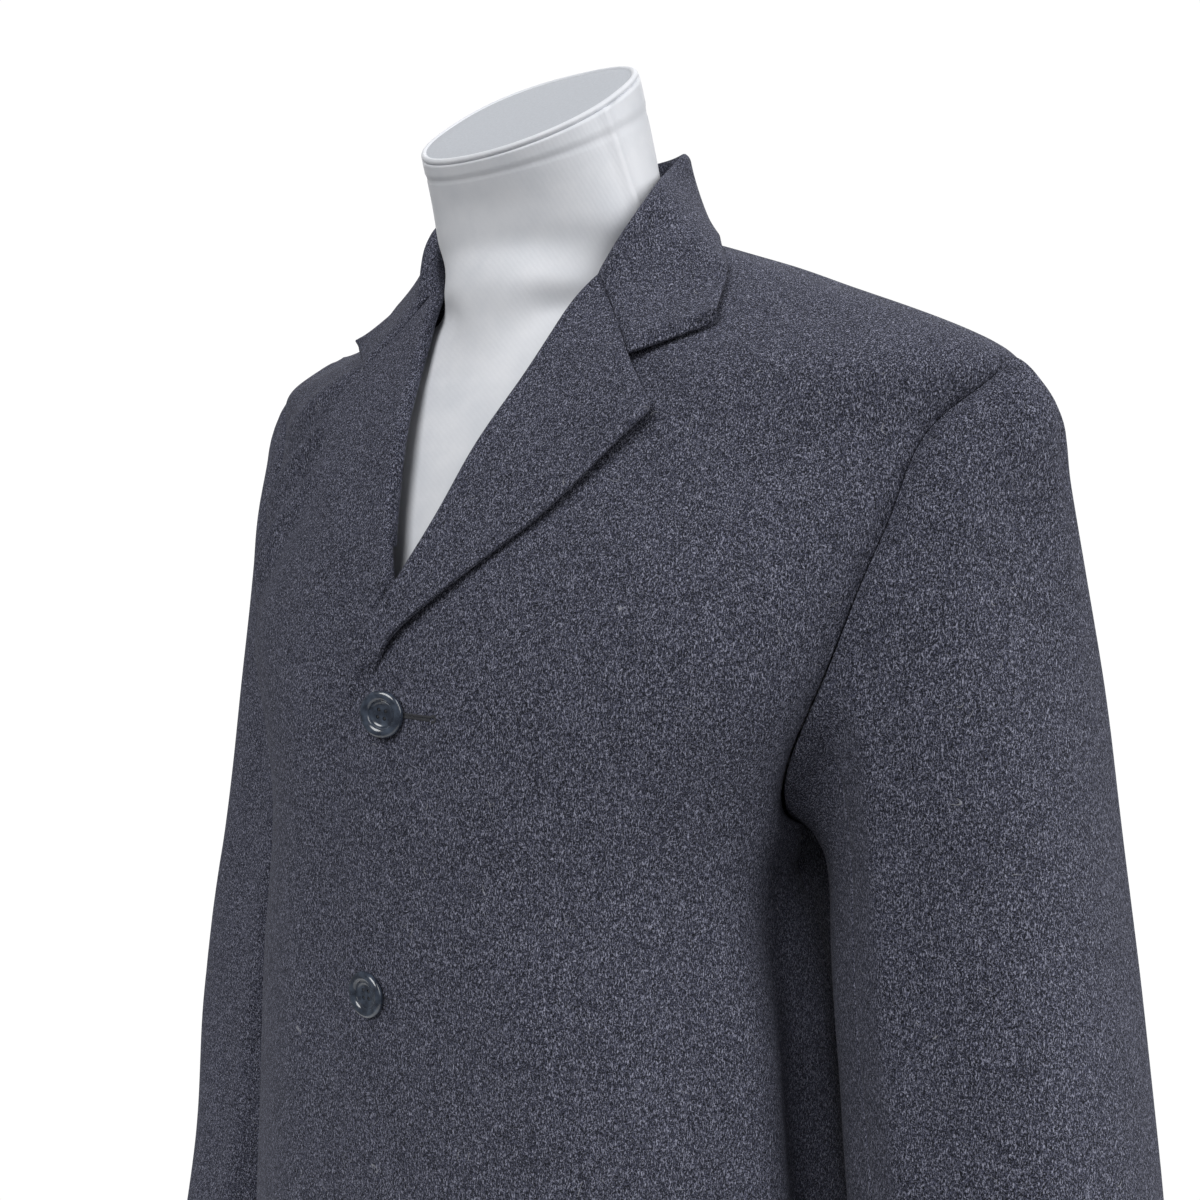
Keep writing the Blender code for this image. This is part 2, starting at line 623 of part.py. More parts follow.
def sleeve_grid():
    """Outer points of the left sleeve; rows run head to cuff, columns underarm, front, tip, back."""
    halves = [side_boundary(back)[SEAM_SPANS:] for back in (False, True)]
    share = np.linspace(0, 1, ARMHOLE_SPANS + 1)
    where = np.concatenate([halves[0], halves[1][-2:0:-1]])
    around = np.concatenate([math.pi * (1 + share), math.pi * (1 - share[-2:0:-1])])
    start = body_point(where[:, 0], where[:, 1])
    normal = body_normal(where[:, 0], where[:, 1])
    rise = ((where[:, 1] - UNDERARM) / (TIP - UNDERARM))[:, None]
    leave = np.array([1.0, 0.0, -0.15]) + normal * (0.5 - 0.25 * rise)
    leave /= np.linalg.norm(leave, axis=-1, keepdims=True)
    top = SLEEVE_ROWS[-1][0]
    ring = sleeve_ring(np.full(len(around), top), around)
    below = sleeve_ring(np.full(len(around), top - 0.02), around)
    down = (below - ring) / np.linalg.norm(below - ring, axis=-1, keepdims=True)
    start = start + leave * SEAM_GAP
    first = start + leave * (0.020 + 0.013 * rise ** 2)
    second = ring - down * (0.020 + 0.122 * rise)
    rows = []
    for t in np.linspace(0, 1, HEAD_ROWS + 1) ** 1.25:
        rows.append((1 - t) ** 3 * start + 3 * t * (1 - t) ** 2 * first
                    + 3 * t ** 2 * (1 - t) * second + t ** 3 * ring)
    for height in np.linspace(top, SLEEVE_ROWS[0][0], ARM_ROWS + 1)[1:]:
        rows.append(sleeve_ring(np.full(len(around), height), around))
    return np.array(rows)


def grid_normals(grid):
    """Outward normals of a grid whose columns close into a ring."""
    wrapped = np.concatenate([grid[:, -1:], grid, grid[:, :1]], 1)
    around = (wrapped[:, 2:] - wrapped[:, :-2])
    along = np.gradient(grid, axis=0)
    normal = np.cross(along, around)
    return normal / np.linalg.norm(normal, axis=-1, keepdims=True)


def sleeve_walls(side, mirror):
    grid = sleeve_grid()
    normal = grid_normals(grid)
    centre = grid.mean(axis=1, keepdims=True)
    if np.sum(normal[-1] * (grid[-1] - centre[-1])) < 0:
        normal = -normal
    columns = grid.shape[1]
    front = round(SLEEVE_FRONT_SEAM * ARMHOLE_SPANS)
    back = columns - round(SLEEVE_BACK_SEAM * ARMHOLE_SPANS)
    pieces = (("top", list(range(front, back + 1))),
              ("under", list(range(back, columns)) + list(range(0, front + 1))))
    for piece, order in pieces:
        outer = grid[:, order].copy()
        facing = normal[:, order]
        for column, toward in ((0, 1), (-1, -2)):
            step = outer[:, toward] - outer[:, column]
            step /= np.linalg.norm(step, axis=-1, keepdims=True)
            outer[:, column] += step * SEAM_GAP / 2
        inner = outer - facing * CLOTH
        if mirror:
            outer, inner = mirrored(outer), mirrored(inner)
        wall_object(f"sleeve_{side}_{piece}", outer, inner)


sleeve_walls("left", mirror=False)
sleeve_walls("right", mirror=True)


# Buttons: turned discs with a thick rim and a dished middle

BUTTON_PROFILE = (      # share of the radius, share of the thickness
    (0.00, 0.00), (0.80, 0.00), (0.97, 0.20), (1.00, 0.50), (0.96, 0.82), (0.86, 1.00),
    (0.74, 0.92), (0.66, 0.66), (0.45, 0.55), (0.00, 0.50),
)
BUTTON_SIDES = 24
BUTTON_TILTS = (18, 0, 0)


def button(number):
    x = BUTTON_X + BUTTON_LEAN * number
    height = BUTTON_TOP - BUTTON_SPACING * number
    tilt = math.radians(BUTTON_TILTS[number])
    mesh = bpy.data.meshes.new(f"button_{number + 1}")
    shape = bmesh.new()
    chain = [shape.verts.new((r * BUTTON_RADIUS, 0, t * BUTTON_THICKNESS))
             for r, t in BUTTON_PROFILE]
    edges = [shape.edges.new(pair) for pair in zip(chain, chain[1:])]
    bmesh.ops.spin(shape, geom=chain + edges, axis=(0, 0, 1), cent=(0, 0, 0), steps=BUTTON_SIDES,
                   angle=2 * math.pi, use_merge=False)
    bmesh.ops.remove_doubles(shape, verts=shape.verts, dist=0.00001)
    bmesh.ops.recalc_face_normals(shape, faces=shape.faces)
    shape.to_mesh(mesh)
    shape.free()
    item = add_object(f"button_{number + 1}", mesh)
    angle = angle_from_x(x, height)
    place = body_point(angle, height) + body_normal(angle, height) * SEAM_GAP
    place[1] -= 0.78 * BUTTON_RADIUS * math.sin(tilt)
    item.location = place
    item.rotation_euler = (math.pi / 2, 0, tilt)
    return item


for number in range(BUTTON_COUNT):
    button(number)


# Dress form: a covered torso with a neck, its slanted neck cap, and the stand

FORM_SIDES = 24
FORM_HEIGHTS = (0.800, 0.806, 0.820, 0.850, 0.900, 0.960, 1.030, 1.100, 1.170, 1.225, 1.280, 1.335,
                1.380, 1.415, 1.445, 1.467, 1.480, 1.490, 1.497, 1.503, 1.508, 1.514, 1.521, 1.532,
                1.547, 1.566, 1.585)


def form_ring(height, grow=1.0):
    """One ring of the dress form, kept inside the coat where the coat is round it."""
    angle = np.linspace(0, 2 * math.pi, FORM_SIDES, endpoint=False)
    half_width, centre_y, front, back, tilt = form_row(height)
    ring = section_point(angle, np.full(FORM_SIDES, height), half_width * grow, centre_y,
                         front * grow, back * grow, 2.1)
    ring[:, 2] += tilt * (ring[:, 1] - centre_y)
    if height < ROLL_ROWS[-1][2]:
        inset = CLOTH + FORM_CLEARANCE
        above = ring + np.array([0, 0, inset])
        level = body_fraction(above)
        middle = np.array([0, body_row(above[0, 2])[1], height])
        reach = np.linalg.norm(ring - middle, axis=1)
        limit = (1 - inset / np.maximum(reach, inset)) / level
        table = np.array(ROLL_ROWS)
        opening = np.interp(height, table[:, 2], table[:, 1])
        covered = np.where(ring[:, 1] < centre_y,
                           smooth_step((np.abs(ring[:, 0]) - opening + 0.022) / 0.012), 1)
        shrink = 1 - (1 - np.minimum(limit, 1)) * covered
        ring = middle + (ring - middle) * shrink[:, None]
    return ring


def solid_object(name, rings):
    """Closed solid through rings, with a flat fan at both ends."""
    mesh = bpy.data.meshes.new(name)
    shape = bmesh.new()
    rows = [[shape.verts.new(point) for point in ring] for ring in rings]
    for lower, upper in zip(rows, rows[1:]):
        for j in range(len(lower)):
            k = (j + 1) % len(lower)
            shape.faces.new((lower[j], lower[k], upper[k], upper[j]))
    for row, points, turn in ((rows[0], rings[0], -1), (rows[-1], rings[-1], 1)):
        centre = shape.verts.new(points.mean(axis=0))
        for j in range(len(row)):
            shape.faces.new((centre, row[j], row[(j + 1) % len(row)])[::turn])
    shape.to_mesh(mesh)
    shape.free()
    return add_object(name, mesh)


solid_object("form_torso", [form_ring(height) for height in FORM_HEIGHTS])
neck_top = form_ring(FORM_HEIGHTS[-1], grow=0.985)
slope = form_row(FORM_HEIGHTS[-1])[4]
cap_up = np.array([0, -slope, 1]) / math.hypot(1, slope)
solid_object("form_neck_cap", [neck_top + cap_up * SEAM_GAP,
                               neck_top + cap_up * (SEAM_GAP + NECK_CAP_THICKNESS)])

FORM_FOOT = FORM_ROWS[0][0]
bpy.ops.mesh.primitive_cylinder_add(
    vertices=32, radius=POLE_RADIUS, depth=FORM_FOOT - BASE_THICKNESS - 2 * SEAM_GAP,
    location=(0, 0, (FORM_FOOT + BASE_THICKNESS) / 2))
pole = bpy.context.object
pole.name = "stand_pole"
bpy.ops.mesh.primitive_cylinder_add(vertices=64, radius=BASE_RADIUS, depth=BASE_THICKNESS,
                                    location=(0, 0, BASE_THICKNESS / 2))
base = bpy.context.object
base.name = "stand_base"
for item in (pole, base):
    for collection in list(item.users_collection):
        collection.objects.unlink(item)
    coat_collection.objects.link(item)
rounding = base.modifiers.new("rounding", "BEVEL")
rounding.width = 0.004
rounding.segments = 2
rounding.limit_method = "ANGLE"

wool = plain_material("charcoal_wool", (0.058, 0.060, 0.072), 0.95)
horn = plain_material("navy_black_plastic", (0.012, 0.014, 0.022), 0.25)
jersey = plain_material("white_jersey", (0.78, 0.80, 0.85), 0.8)
cap_cover = plain_material("grey_cap_cover", (0.52, 0.56, 0.62), 0.7)
steel = plain_material("satin_steel", (0.55, 0.55, 0.56), 0.35, 1.0)
finishes = {"button": horn, "form_torso": jersey, "form_neck_cap": cap_cover, "stand": steel}
for item in coat_collection.objects:
    finish = next((value for key, value in finishes.items() if item.name.startswith(key)), wool)
    item.data.materials.clear()
    item.data.materials.append(finish)
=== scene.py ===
import math

import bmesh
import bpy
import numpy as np
from mathutils import Matrix, Vector


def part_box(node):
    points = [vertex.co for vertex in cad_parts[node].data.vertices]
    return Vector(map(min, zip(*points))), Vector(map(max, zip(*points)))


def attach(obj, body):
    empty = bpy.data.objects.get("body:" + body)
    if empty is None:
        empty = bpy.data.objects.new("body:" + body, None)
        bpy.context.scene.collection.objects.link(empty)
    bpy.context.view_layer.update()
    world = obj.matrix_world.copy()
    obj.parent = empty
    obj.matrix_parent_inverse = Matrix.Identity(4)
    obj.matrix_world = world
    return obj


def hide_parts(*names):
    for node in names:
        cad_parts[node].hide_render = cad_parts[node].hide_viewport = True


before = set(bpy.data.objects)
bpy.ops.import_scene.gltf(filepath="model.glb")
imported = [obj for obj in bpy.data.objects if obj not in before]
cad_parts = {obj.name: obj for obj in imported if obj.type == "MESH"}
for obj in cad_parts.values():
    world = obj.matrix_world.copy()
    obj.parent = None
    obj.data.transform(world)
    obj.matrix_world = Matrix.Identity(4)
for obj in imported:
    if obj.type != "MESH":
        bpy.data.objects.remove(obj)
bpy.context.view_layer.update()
print("frame loaded")


# Small helpers for colours, nodes and meshes

def linearColour(hexCode):
    channels = [int(hexCode[i:i + 2], 16) / 255 for i in (1, 3, 5)]
    linear = [c / 12.92 if c <= 0.04045 else ((c + 0.055) / 1.055) ** 2.4 for c in channels]
    return (*linear, 1.0)


def addNode(tree, kind, settings=None, inputs=None):
    # a ramp's "stops" are places with a hex colour or linear factors
    node = tree.nodes.new(kind)
    for key, value in (settings or {}).items():
        if key == "stops":
            elements = node.color_ramp.elements
            while len(elements) < len(value):
                elements.new(0.5)
            for element, (position, colour) in zip(elements, value):
                element.position = position
                element.color = linearColour(colour) if isinstance(colour, str) else colour
        else:
            setattr(node, key, value)
    for key, value in (inputs or {}).items():
        if isinstance(value, bpy.types.NodeSocket):
            tree.links.new(value, node.inputs[key])
        else:
            node.inputs[key].default_value = value
    return node


def newMaterial(name):
    material = bpy.data.materials.new(name)
    material.use_nodes = True
    material.node_tree.nodes.clear()
    return material, material.node_tree


def finished(material, inputs):
    # the material's shader and its output
    tree = material.node_tree
    shader = addNode(tree, "ShaderNodeBsdfPrincipled", inputs=inputs)
    addNode(tree, "ShaderNodeOutputMaterial", inputs={"Surface": shader.outputs["BSDF"]})
    return material


def smoothCurve(rows):
    # natural cubic spline through a table whose first column is the parameter
    table = np.array(rows, float)
    knots, values = table[:, 0], table[:, 1:]
    count = len(knots)
    step = np.diff(knots)
    matrix = np.eye(count)
    right = np.zeros_like(values)
    for i in range(1, count - 1):
        matrix[i, i - 1:i + 2] = step[i - 1], 2 * (step[i - 1] + step[i]), step[i]
        right[i] = 6 * ((values[i + 1] - values[i]) / step[i] - (values[i] - values[i - 1]) / step[i - 1])
    bend = np.linalg.solve(matrix, right)

    def at(parameter):
        u = np.clip(np.asarray(parameter, float), knots[0], knots[-1])
        i = np.clip(np.searchsorted(knots, u) - 1, 0, count - 2)
        h = step[i][..., None]
        left = (knots[i + 1] - u)[..., None]
        past = (u - knots[i])[..., None]
        value = bend[i] * left ** 3 / (6 * h) + bend[i + 1] * past ** 3 / (6 * h)
        value += (values[i] / h - bend[i] * h / 6) * left
        value += (values[i + 1] / h - bend[i + 1] * h / 6) * past
        return value

    return at


def easeStep(value):
    t = np.clip(value, 0.0, 1.0)
    return t * t * (3 - 2 * t)


def unit(vectors):
    return vectors / np.maximum(np.linalg.norm(vectors, axis=-1, keepdims=True), 1e-12)


def mirrored(points):
    return points * np.array([-1.0, 1.0, 1.0])


def joinByLength(points, fractions):
    # rows of a polyline at fractions of its length
    steps = np.linalg.norm(np.diff(points[:, :3], axis=0), axis=1)
    length = np.concatenate([[0], np.cumsum(steps)])
    wanted = np.asarray(fractions) * length[-1]
    return np.stack([np.interp(wanted, length, points[:, i]) for i in range(points.shape[1])], -1)


def denseShares(count, ends=0.6):
    # shares from 0 to 1 that crowd toward both ends
    u = np.linspace(0, 1, count)
    return (1 - ends) * u + ends * (1 - np.cos(math.pi * u)) / 2


def addObject(name, data):
    item = bpy.data.objects.new(name, data)
    bpy.context.scene.collection.objects.link(item)
    return item


def meshObject(name, points, faces, material):
    mesh = bpy.data.meshes.new(name)
    mesh.from_pydata([tuple(p) for p in points], [], [tuple(f) for f in faces])
    shape = bmesh.new()
    shape.from_mesh(mesh)
    bmesh.ops.remove_doubles(shape, verts=shape.verts, dist=0.000002)
    bmesh.ops.recalc_face_normals(shape, faces=shape.faces)
    shape.to_mesh(mesh)
    shape.free()
    mesh.shade_smooth()
    mesh.materials.append(material)
    return addObject(name, mesh)


def quadsOf(index):
    corners = (index[:-1, :-1], index[:-1, 1:], index[1:, 1:], index[1:, :-1])
    return np.stack(corners, -1).reshape(-1, 4)


cloth = {
    "thickness": 0.0028,    # coating with its interlining
    "lapGap": 0.0012,       # between the lapped fronts
    "restGap": 0.0012,      # under a lapel or a collar leaf
    "rimBulge": 0.85,       # 1 is a half-round edge
    "rimRoom": 0.75,        # a rim takes at most this share of the first row
    "rimSteps": 4,
    "sewnRim": 0.12,        # how round the rim of a sewn edge is
}


def clothWall(name, outer, inner, material, around=False, rounding=1.0):
    # closed wall between two grids of points, with round rims along its borders
    rows, columns = outer.shape[:2]
    borders = [(np.s_[0], np.s_[1]), (np.s_[-1], np.s_[-2])]
    if not around:
        borders += [(np.s_[:, 0], np.s_[:, 1]), (np.s_[:, -1], np.s_[:, -2])]
    away = np.zeros_like(outer)
    room = np.full((rows, columns), 1.0)
    border = np.zeros((rows, columns, 1), bool)
    for edge, beside in borders:
        step = outer[edge] - outer[beside]
        away[edge] += unit(step)
        room[edge] = np.minimum(room[edge], np.linalg.norm(step, axis=-1))
        border[edge] = True
    half = (outer - inner) / 2
    facing = unit(half)
    away = unit(away - facing * np.sum(away * facing, -1, keepdims=True))
    reach = np.linalg.norm(half, axis=-1) * cloth["rimBulge"] * rounding
    bulge = np.minimum(reach, cloth["rimRoom"] * room)[..., None]
    drawn = np.where(border, away * bulge, 0)
    layers = [outer - drawn, inner - drawn]
    index = np.arange(rows * columns).reshape(rows, columns)
    count = rows * columns
    closed = np.pad(index, ((0, 0), (0, 1)), "wrap") if around else index
    faces = [quadsOf(closed), quadsOf(closed + count)[:, ::-1]]
    if around:
        loops = [index[0], index[-1]]
    else:
        loops = [np.concatenate([index[0, :-1], index[:-1, -1], index[-1, :0:-1], index[:0:-1, 0]])]
    points = [layers[0].reshape(-1, 3), layers[1].reshape(-1, 3)]
    flatOuter, flatInner = points
    flatAway, flatBulge = away.reshape(-1, 3), bulge.reshape(-1, 1)
    total = 2 * count
    for loop in loops:
        rings = [loop]
        middle = (flatOuter[loop] + flatInner[loop]) / 2
        arm = (flatOuter[loop] - flatInner[loop]) / 2
        for k in range(1, cloth["rimSteps"]):
            turn = math.pi * k / cloth["rimSteps"]
            points.append(middle + arm * math.cos(turn) + flatAway[loop] * flatBulge[loop] * math.sin(turn))
            rings.append(np.arange(total, total + len(loop)))
            total += len(loop)
        rings.append(loop + count)
        for first, second in zip(rings, rings[1:]):
            faces.append(np.stack([first, second, np.roll(second, -1), np.roll(first, -1)], -1))
    return meshObject(name, np.concatenate(points), np.concatenate(faces).tolist(), material)


softness = {
    "foldReach": 3,         # a fold fades out within this many of its widths
    "endShare": 0.02,
    "endPower": 0.6,
    "waves": 7,
    "waveSpread": (0.7, 1.5),
}


def foldField(points, paths):
    # rise along the surface normal that soft folds give; each path is (polyline, width, rise)
    shape = points.shape[:-1]
    flat = points.reshape(-1, 3)
    total = np.zeros(len(flat))
    for line, width, rise in paths:
        reach = softness["foldReach"] * width
        near = np.all((flat > line.min(0) - reach) & (flat < line.max(0) + reach), axis=1)
        if not near.any():
            continue
        here = flat[near]
        best = np.full(len(here), 1e9)
        share = np.zeros(len(here))
        for i in range(len(line) - 1):
            run = line[i + 1] - line[i]
            t = np.clip((here - line[i]) @ run / (run @ run), 0, 1)
            distance = np.linalg.norm(here - line[i] - t[:, None] * run, axis=1)
            closer = distance < best
            best = np.where(closer, distance, best)
            share = np.where(closer, (i + t) / (len(line) - 1), share)
        inside = np.clip(share, softness["endShare"], 1 - softness["endShare"])
        fade = np.sin(math.pi * inside) ** softness["endPower"]
        total[near] += rise * fade * np.exp(-(best / width) ** 2)
    return total.reshape(shape)


def softUneven(points, size, amount, seed):
    # slow swell of hand-pressed cloth: a few crossing waves about this size
    dice = np.random.default_rng(seed)
    total = np.zeros(points.shape[:-1])
    for _ in range(softness["waves"]):
        direction = unit(dice.normal(size=3))
        span = size * dice.uniform(*softness["waveSpread"])
        start = dice.uniform(0, 7)
        total += np.sin(points @ direction * 2 * math.pi / span + start)
    return amount * total / (softness["waves"] / 2)


# Charcoal melton wool: a felted nap of dark, grey and a few near-white fibres, so it reads as
# a soft speckle with no weave showing and stays matt with a faint sheen at its turns
woolLook = {
    "dark": "#08090e",
    "mid": "#22242e",
    "light": "#4d4f61",
    "fibre": "#a3a5b8",
    "hair": "#a5a6ac",
    "grainMm": 0.65,
    "fleckMm": 0.95,         # real fibres are finer; drawn this coarse so that they show
    "curlMm": 1.5,
    "cloudMm": 30.0,
    "hairScale": 60.0,
    "napScale": 420.0,
    "strands": ((0.5, 0.34), (-0.9, 0.30)),     # turn and stretch of each lie of the nap
    "roughness": 0.95,
    "sheen": 0.06,
    "bumpMm": 0.55,
}


def curledLines(tree, place, scale, thin, strength):
    # thin curved fibres: the middle contour of a noise
    line = addNode(tree, "ShaderNodeTexNoise", inputs={
        "Vector": place, "Scale": scale, "Detail": 0.5, "Roughness": 0.5}).outputs["Fac"]
    away = addNode(tree, "ShaderNodeMath", {"operation": "SUBTRACT"}, {0: line, 1: 0.5}).outputs["Value"]
    close = addNode(tree, "ShaderNodeMath", {"operation": "ABSOLUTE"}, {0: away}).outputs["Value"]
    return addNode(tree, "ShaderNodeMapRange", inputs={
        "Value": close, "From Min": thin, "From Max": thin * 3,
        "To Min": strength, "To Max": 0.0}).outputs["Result"]


def broken(tree, place, lines, scale, low, high):
    # cuts the lines short where another noise is low
    patch = addNode(tree, "ShaderNodeTexNoise", inputs={
        "Vector": place, "Scale": scale, "Detail": 0.0}).outputs["Fac"]
    part = addNode(tree, "ShaderNodeMapRange", inputs={
        "Value": patch, "From Min": low, "From Max": high}).outputs["Result"]
    return addNode(tree, "ShaderNodeMath", {"operation": "MULTIPLY"}, {0: lines, 1: part}).outputs["Value"]


def meltonWool():
    look = woolLook
    material, tree = newMaterial("charcoalMeltonWool")
    place = addNode(tree, "ShaderNodeTexCoord").outputs["Object"]
    grain = addNode(tree, "ShaderNodeTexNoise", inputs={
        "Vector": place, "Scale": 1000 / look["grainMm"], "Detail": 3.0, "Roughness": 0.65}).outputs["Fac"]
    base = addNode(tree, "ShaderNodeValToRGB", {
        "stops": ((0.40, look["dark"]), (0.50, look["mid"]), (0.61, look["light"]))}, {"Fac": grain})
    cloud = addNode(tree, "ShaderNodeTexNoise", inputs={
        "Vector": place, "Scale": 1000 / look["cloudMm"], "Detail": 3.0, "Roughness": 0.6}).outputs["Fac"]
    shade = addNode(tree, "ShaderNodeValToRGB", {
        "stops": ((0.30, (0.86, 0.86, 0.87, 1)), (0.70, (1.14, 1.13, 1.12, 1)))}, {"Fac": cloud})
    colour = addNode(tree, "ShaderNodeMix", {"data_type": "RGBA", "blend_type": "MULTIPLY"}, {
        0: 1.0, 6: base.outputs["Color"], 7: shade.outputs["Color"]}).outputs[2]
    fibres = []
    for turn, stretch in look["strands"]:
        mapping = addNode(tree, "ShaderNodeMapping", inputs={
            "Vector": place, "Rotation": (turn, turn * 0.7, turn * 1.3), "Scale": (1.0, 1.0, stretch)})
        strand = addNode(tree, "ShaderNodeTexNoise", inputs={
            "Vector": mapping.outputs["Vector"], "Scale": 1600 / look["fleckMm"], "Detail": 2.0,
            "Roughness": 0.5}).outputs["Fac"]
        fibres.append(addNode(tree, "ShaderNodeMapRange", inputs={
            "Value": strand, "From Min": 0.58, "From Max": 0.76, "To Min": 0.0, "To Max": 0.95}))
    curl = curledLines(tree, place, 1000 / look["curlMm"], 0.012, 0.75)
    curl = broken(tree, place, curl, 1400 / look["curlMm"], 0.50, 0.60)
    hair = curledLines(tree, place, look["hairScale"], 0.0015, 0.55)
    hair = broken(tree, place, hair, 95.0, 0.735, 0.75)
    laid = [(fleck.outputs["Result"], look["fibre"]) for fleck in fibres]
    for amount, tone in laid + [(curl, look["fibre"]), (hair, look["hair"])]:
        colour = addNode(tree, "ShaderNodeMix", {"data_type": "RGBA", "blend_type": "MIX"}, {
            0: amount, 6: colour, 7: linearColour(tone)}).outputs[2]
    nap = addNode(tree, "ShaderNodeTexNoise", inputs={
        "Vector": place, "Scale": look["napScale"], "Detail": 4.0, "Roughness": 0.7}).outputs["Fac"]
    height = addNode(tree, "ShaderNodeMath", {"operation": "ADD"}, {0: nap, 1: curl}).outputs["Value"]
    bump = addNode(tree, "ShaderNodeBump", inputs={
        "Strength": 0.55, "Distance": look["bumpMm"] / 1000, "Height": height})
    return finished(material, {
        "Base Color": colour, "Roughness": look["roughness"], "Specular IOR Level": 0.25,
        "Sheen Weight": look["sheen"], "Sheen Roughness": 0.45,
        "Sheen Tint": linearColour("#aeb0bd"), "Normal": bump.outputs["Normal"]})


# Polyester buttons, cast and tumbled: near black with a navy cast and long soft highlights
buttonLook = {"body": "#232a37", "haze": "#46505f", "roughness": 0.18, "coat": 1.0}


def castPolyester():
    look = buttonLook
    material, tree = newMaterial("navyCastPolyester")
    place = addNode(tree, "ShaderNodeTexCoord").outputs["Object"]
    swirl = addNode(tree, "ShaderNodeTexNoise", inputs={
        "Vector": place, "Scale": 260.0, "Detail": 2.0}).outputs["Fac"]
    colour = addNode(tree, "ShaderNodeValToRGB", {
        "stops": ((0.35, look["body"]), (0.75, look["haze"]))}, {"Fac": swirl})
    scuff = addNode(tree, "ShaderNodeTexNoise", inputs={
        "Vector": place, "Scale": 1400.0, "Detail": 3.0}).outputs["Fac"]
    rough = addNode(tree, "ShaderNodeMapRange", inputs={
        "Value": scuff, "From Min": 0.3, "From Max": 0.7,
        "To Min": look["roughness"] - 0.06, "To Max": look["roughness"] + 0.10})
    bump = addNode(tree, "ShaderNodeBump", inputs={"Strength": 0.06, "Distance": 0.0002, "Height": scuff})
    return finished(material, {
        "Base Color": colour.outputs["Color"], "Roughness": rough.outputs["Result"], "IOR": 1.54,
        "Coat Weight": look["coat"], "Coat Roughness": 0.12, "Normal": bump.outputs["Normal"]})


# Cotton-wrapped polyester thread: matt twisted strands, a shade darker than the cloth
threadLook = {"dark": "#17181d", "light": "#2e3038"}


def sewingThread():
    material, tree = newMaterial("darkPolyesterThread")
    place = addNode(tree, "ShaderNodeTexCoord").outputs["Object"]
    twist = addNode(tree, "ShaderNodeTexNoise", inputs={
        "Vector": place, "Scale": 2500.0, "Detail": 2.0}).outputs["Fac"]
    colour = addNode(tree, "ShaderNodeValToRGB", {
        "stops": ((0.3, threadLook["dark"]), (0.7, threadLook["light"]))}, {"Fac": twist})
    return finished(material, {
        "Base Color": colour.outputs["Color"], "Roughness": 0.7, "Sheen Weight": 0.2})


# Stretch jersey over a padded form: white with a blue cast, a fine knit and a slight gloss
jerseyLook = {"light": "#e3e5ea", "shade": "#d9dce2", "ribMm": 1.1, "roughness": 0.55}


def whiteJersey():
    look = jerseyLook
    material, tree = newMaterial("whiteStretchJersey")
    place = addNode(tree, "ShaderNodeTexCoord").outputs["Object"]
    knit = addNode(tree, "ShaderNodeTexWave", {"wave_type": "BANDS", "bands_direction": "DIAGONAL"}, {
        "Vector": place, "Scale": 1000 / look["ribMm"] / 6.28, "Distortion": 2.0, "Detail": 1.0,
        "Detail Scale": 2.0}).outputs["Fac"]
    cloud = addNode(tree, "ShaderNodeTexNoise", inputs={
        "Vector": place, "Scale": 30.0, "Detail": 4.0, "Roughness": 0.6}).outputs["Fac"]
    colour = addNode(tree, "ShaderNodeValToRGB", {
        "stops": ((0.35, look["shade"]), (0.62, look["light"]))}, {"Fac": cloud})
    fine = addNode(tree, "ShaderNodeTexNoise", inputs={
        "Vector": place, "Scale": 1200.0, "Detail": 2.0}).outputs["Fac"]
    height = addNode(tree, "ShaderNodeMath", {"operation": "ADD"}, {0: knit, 1: fine}).outputs["Value"]
    bump = addNode(tree, "ShaderNodeBump", inputs={"Strength": 0.10, "Distance": 0.0002, "Height": height})
    return finished(material, {
        "Base Color": colour.outputs["Color"], "Roughness": look["roughness"], "Sheen Weight": 0.15,
        "Coat Weight": 0.12, "Coat Roughness": 0.35, "Normal": bump.outputs["Normal"]})


# Felted cover of the neck cap: a matt blue grey with a fine tooth
capLook = {"dark": "#b0b4bb", "light": "#bec2c9"}


def capCover():
    material, tree = newMaterial("greyCapCover")
    place = addNode(tree, "ShaderNodeTexCoord").outputs["Object"]
    tooth = addNode(tree, "ShaderNodeTexNoise", inputs={
        "Vector": place, "Scale": 700.0, "Detail": 4.0, "Roughness": 0.7}).outputs["Fac"]
    colour = addNode(tree, "ShaderNodeValToRGB", {
        "stops": ((0.3, capLook["dark"]), (0.7, capLook["light"]))}, {"Fac": tooth})
    bump = addNode(tree, "ShaderNodeBump", inputs={"Strength": 0.15, "Distance": 0.0002, "Height": tooth})
    return finished(material, {
        "Base Color": colour.outputs["Color"], "Roughness": 0.75, "Sheen Weight": 0.1,
        "Normal": bump.outputs["Normal"]})


# Brushed stainless steel: fine lines round the pole and base, with a broad soft shine
steelLook = {"dark": "#c2c4c6", "light": "#cccdce", "brush": (500.0, 500.0, 3000.0)}


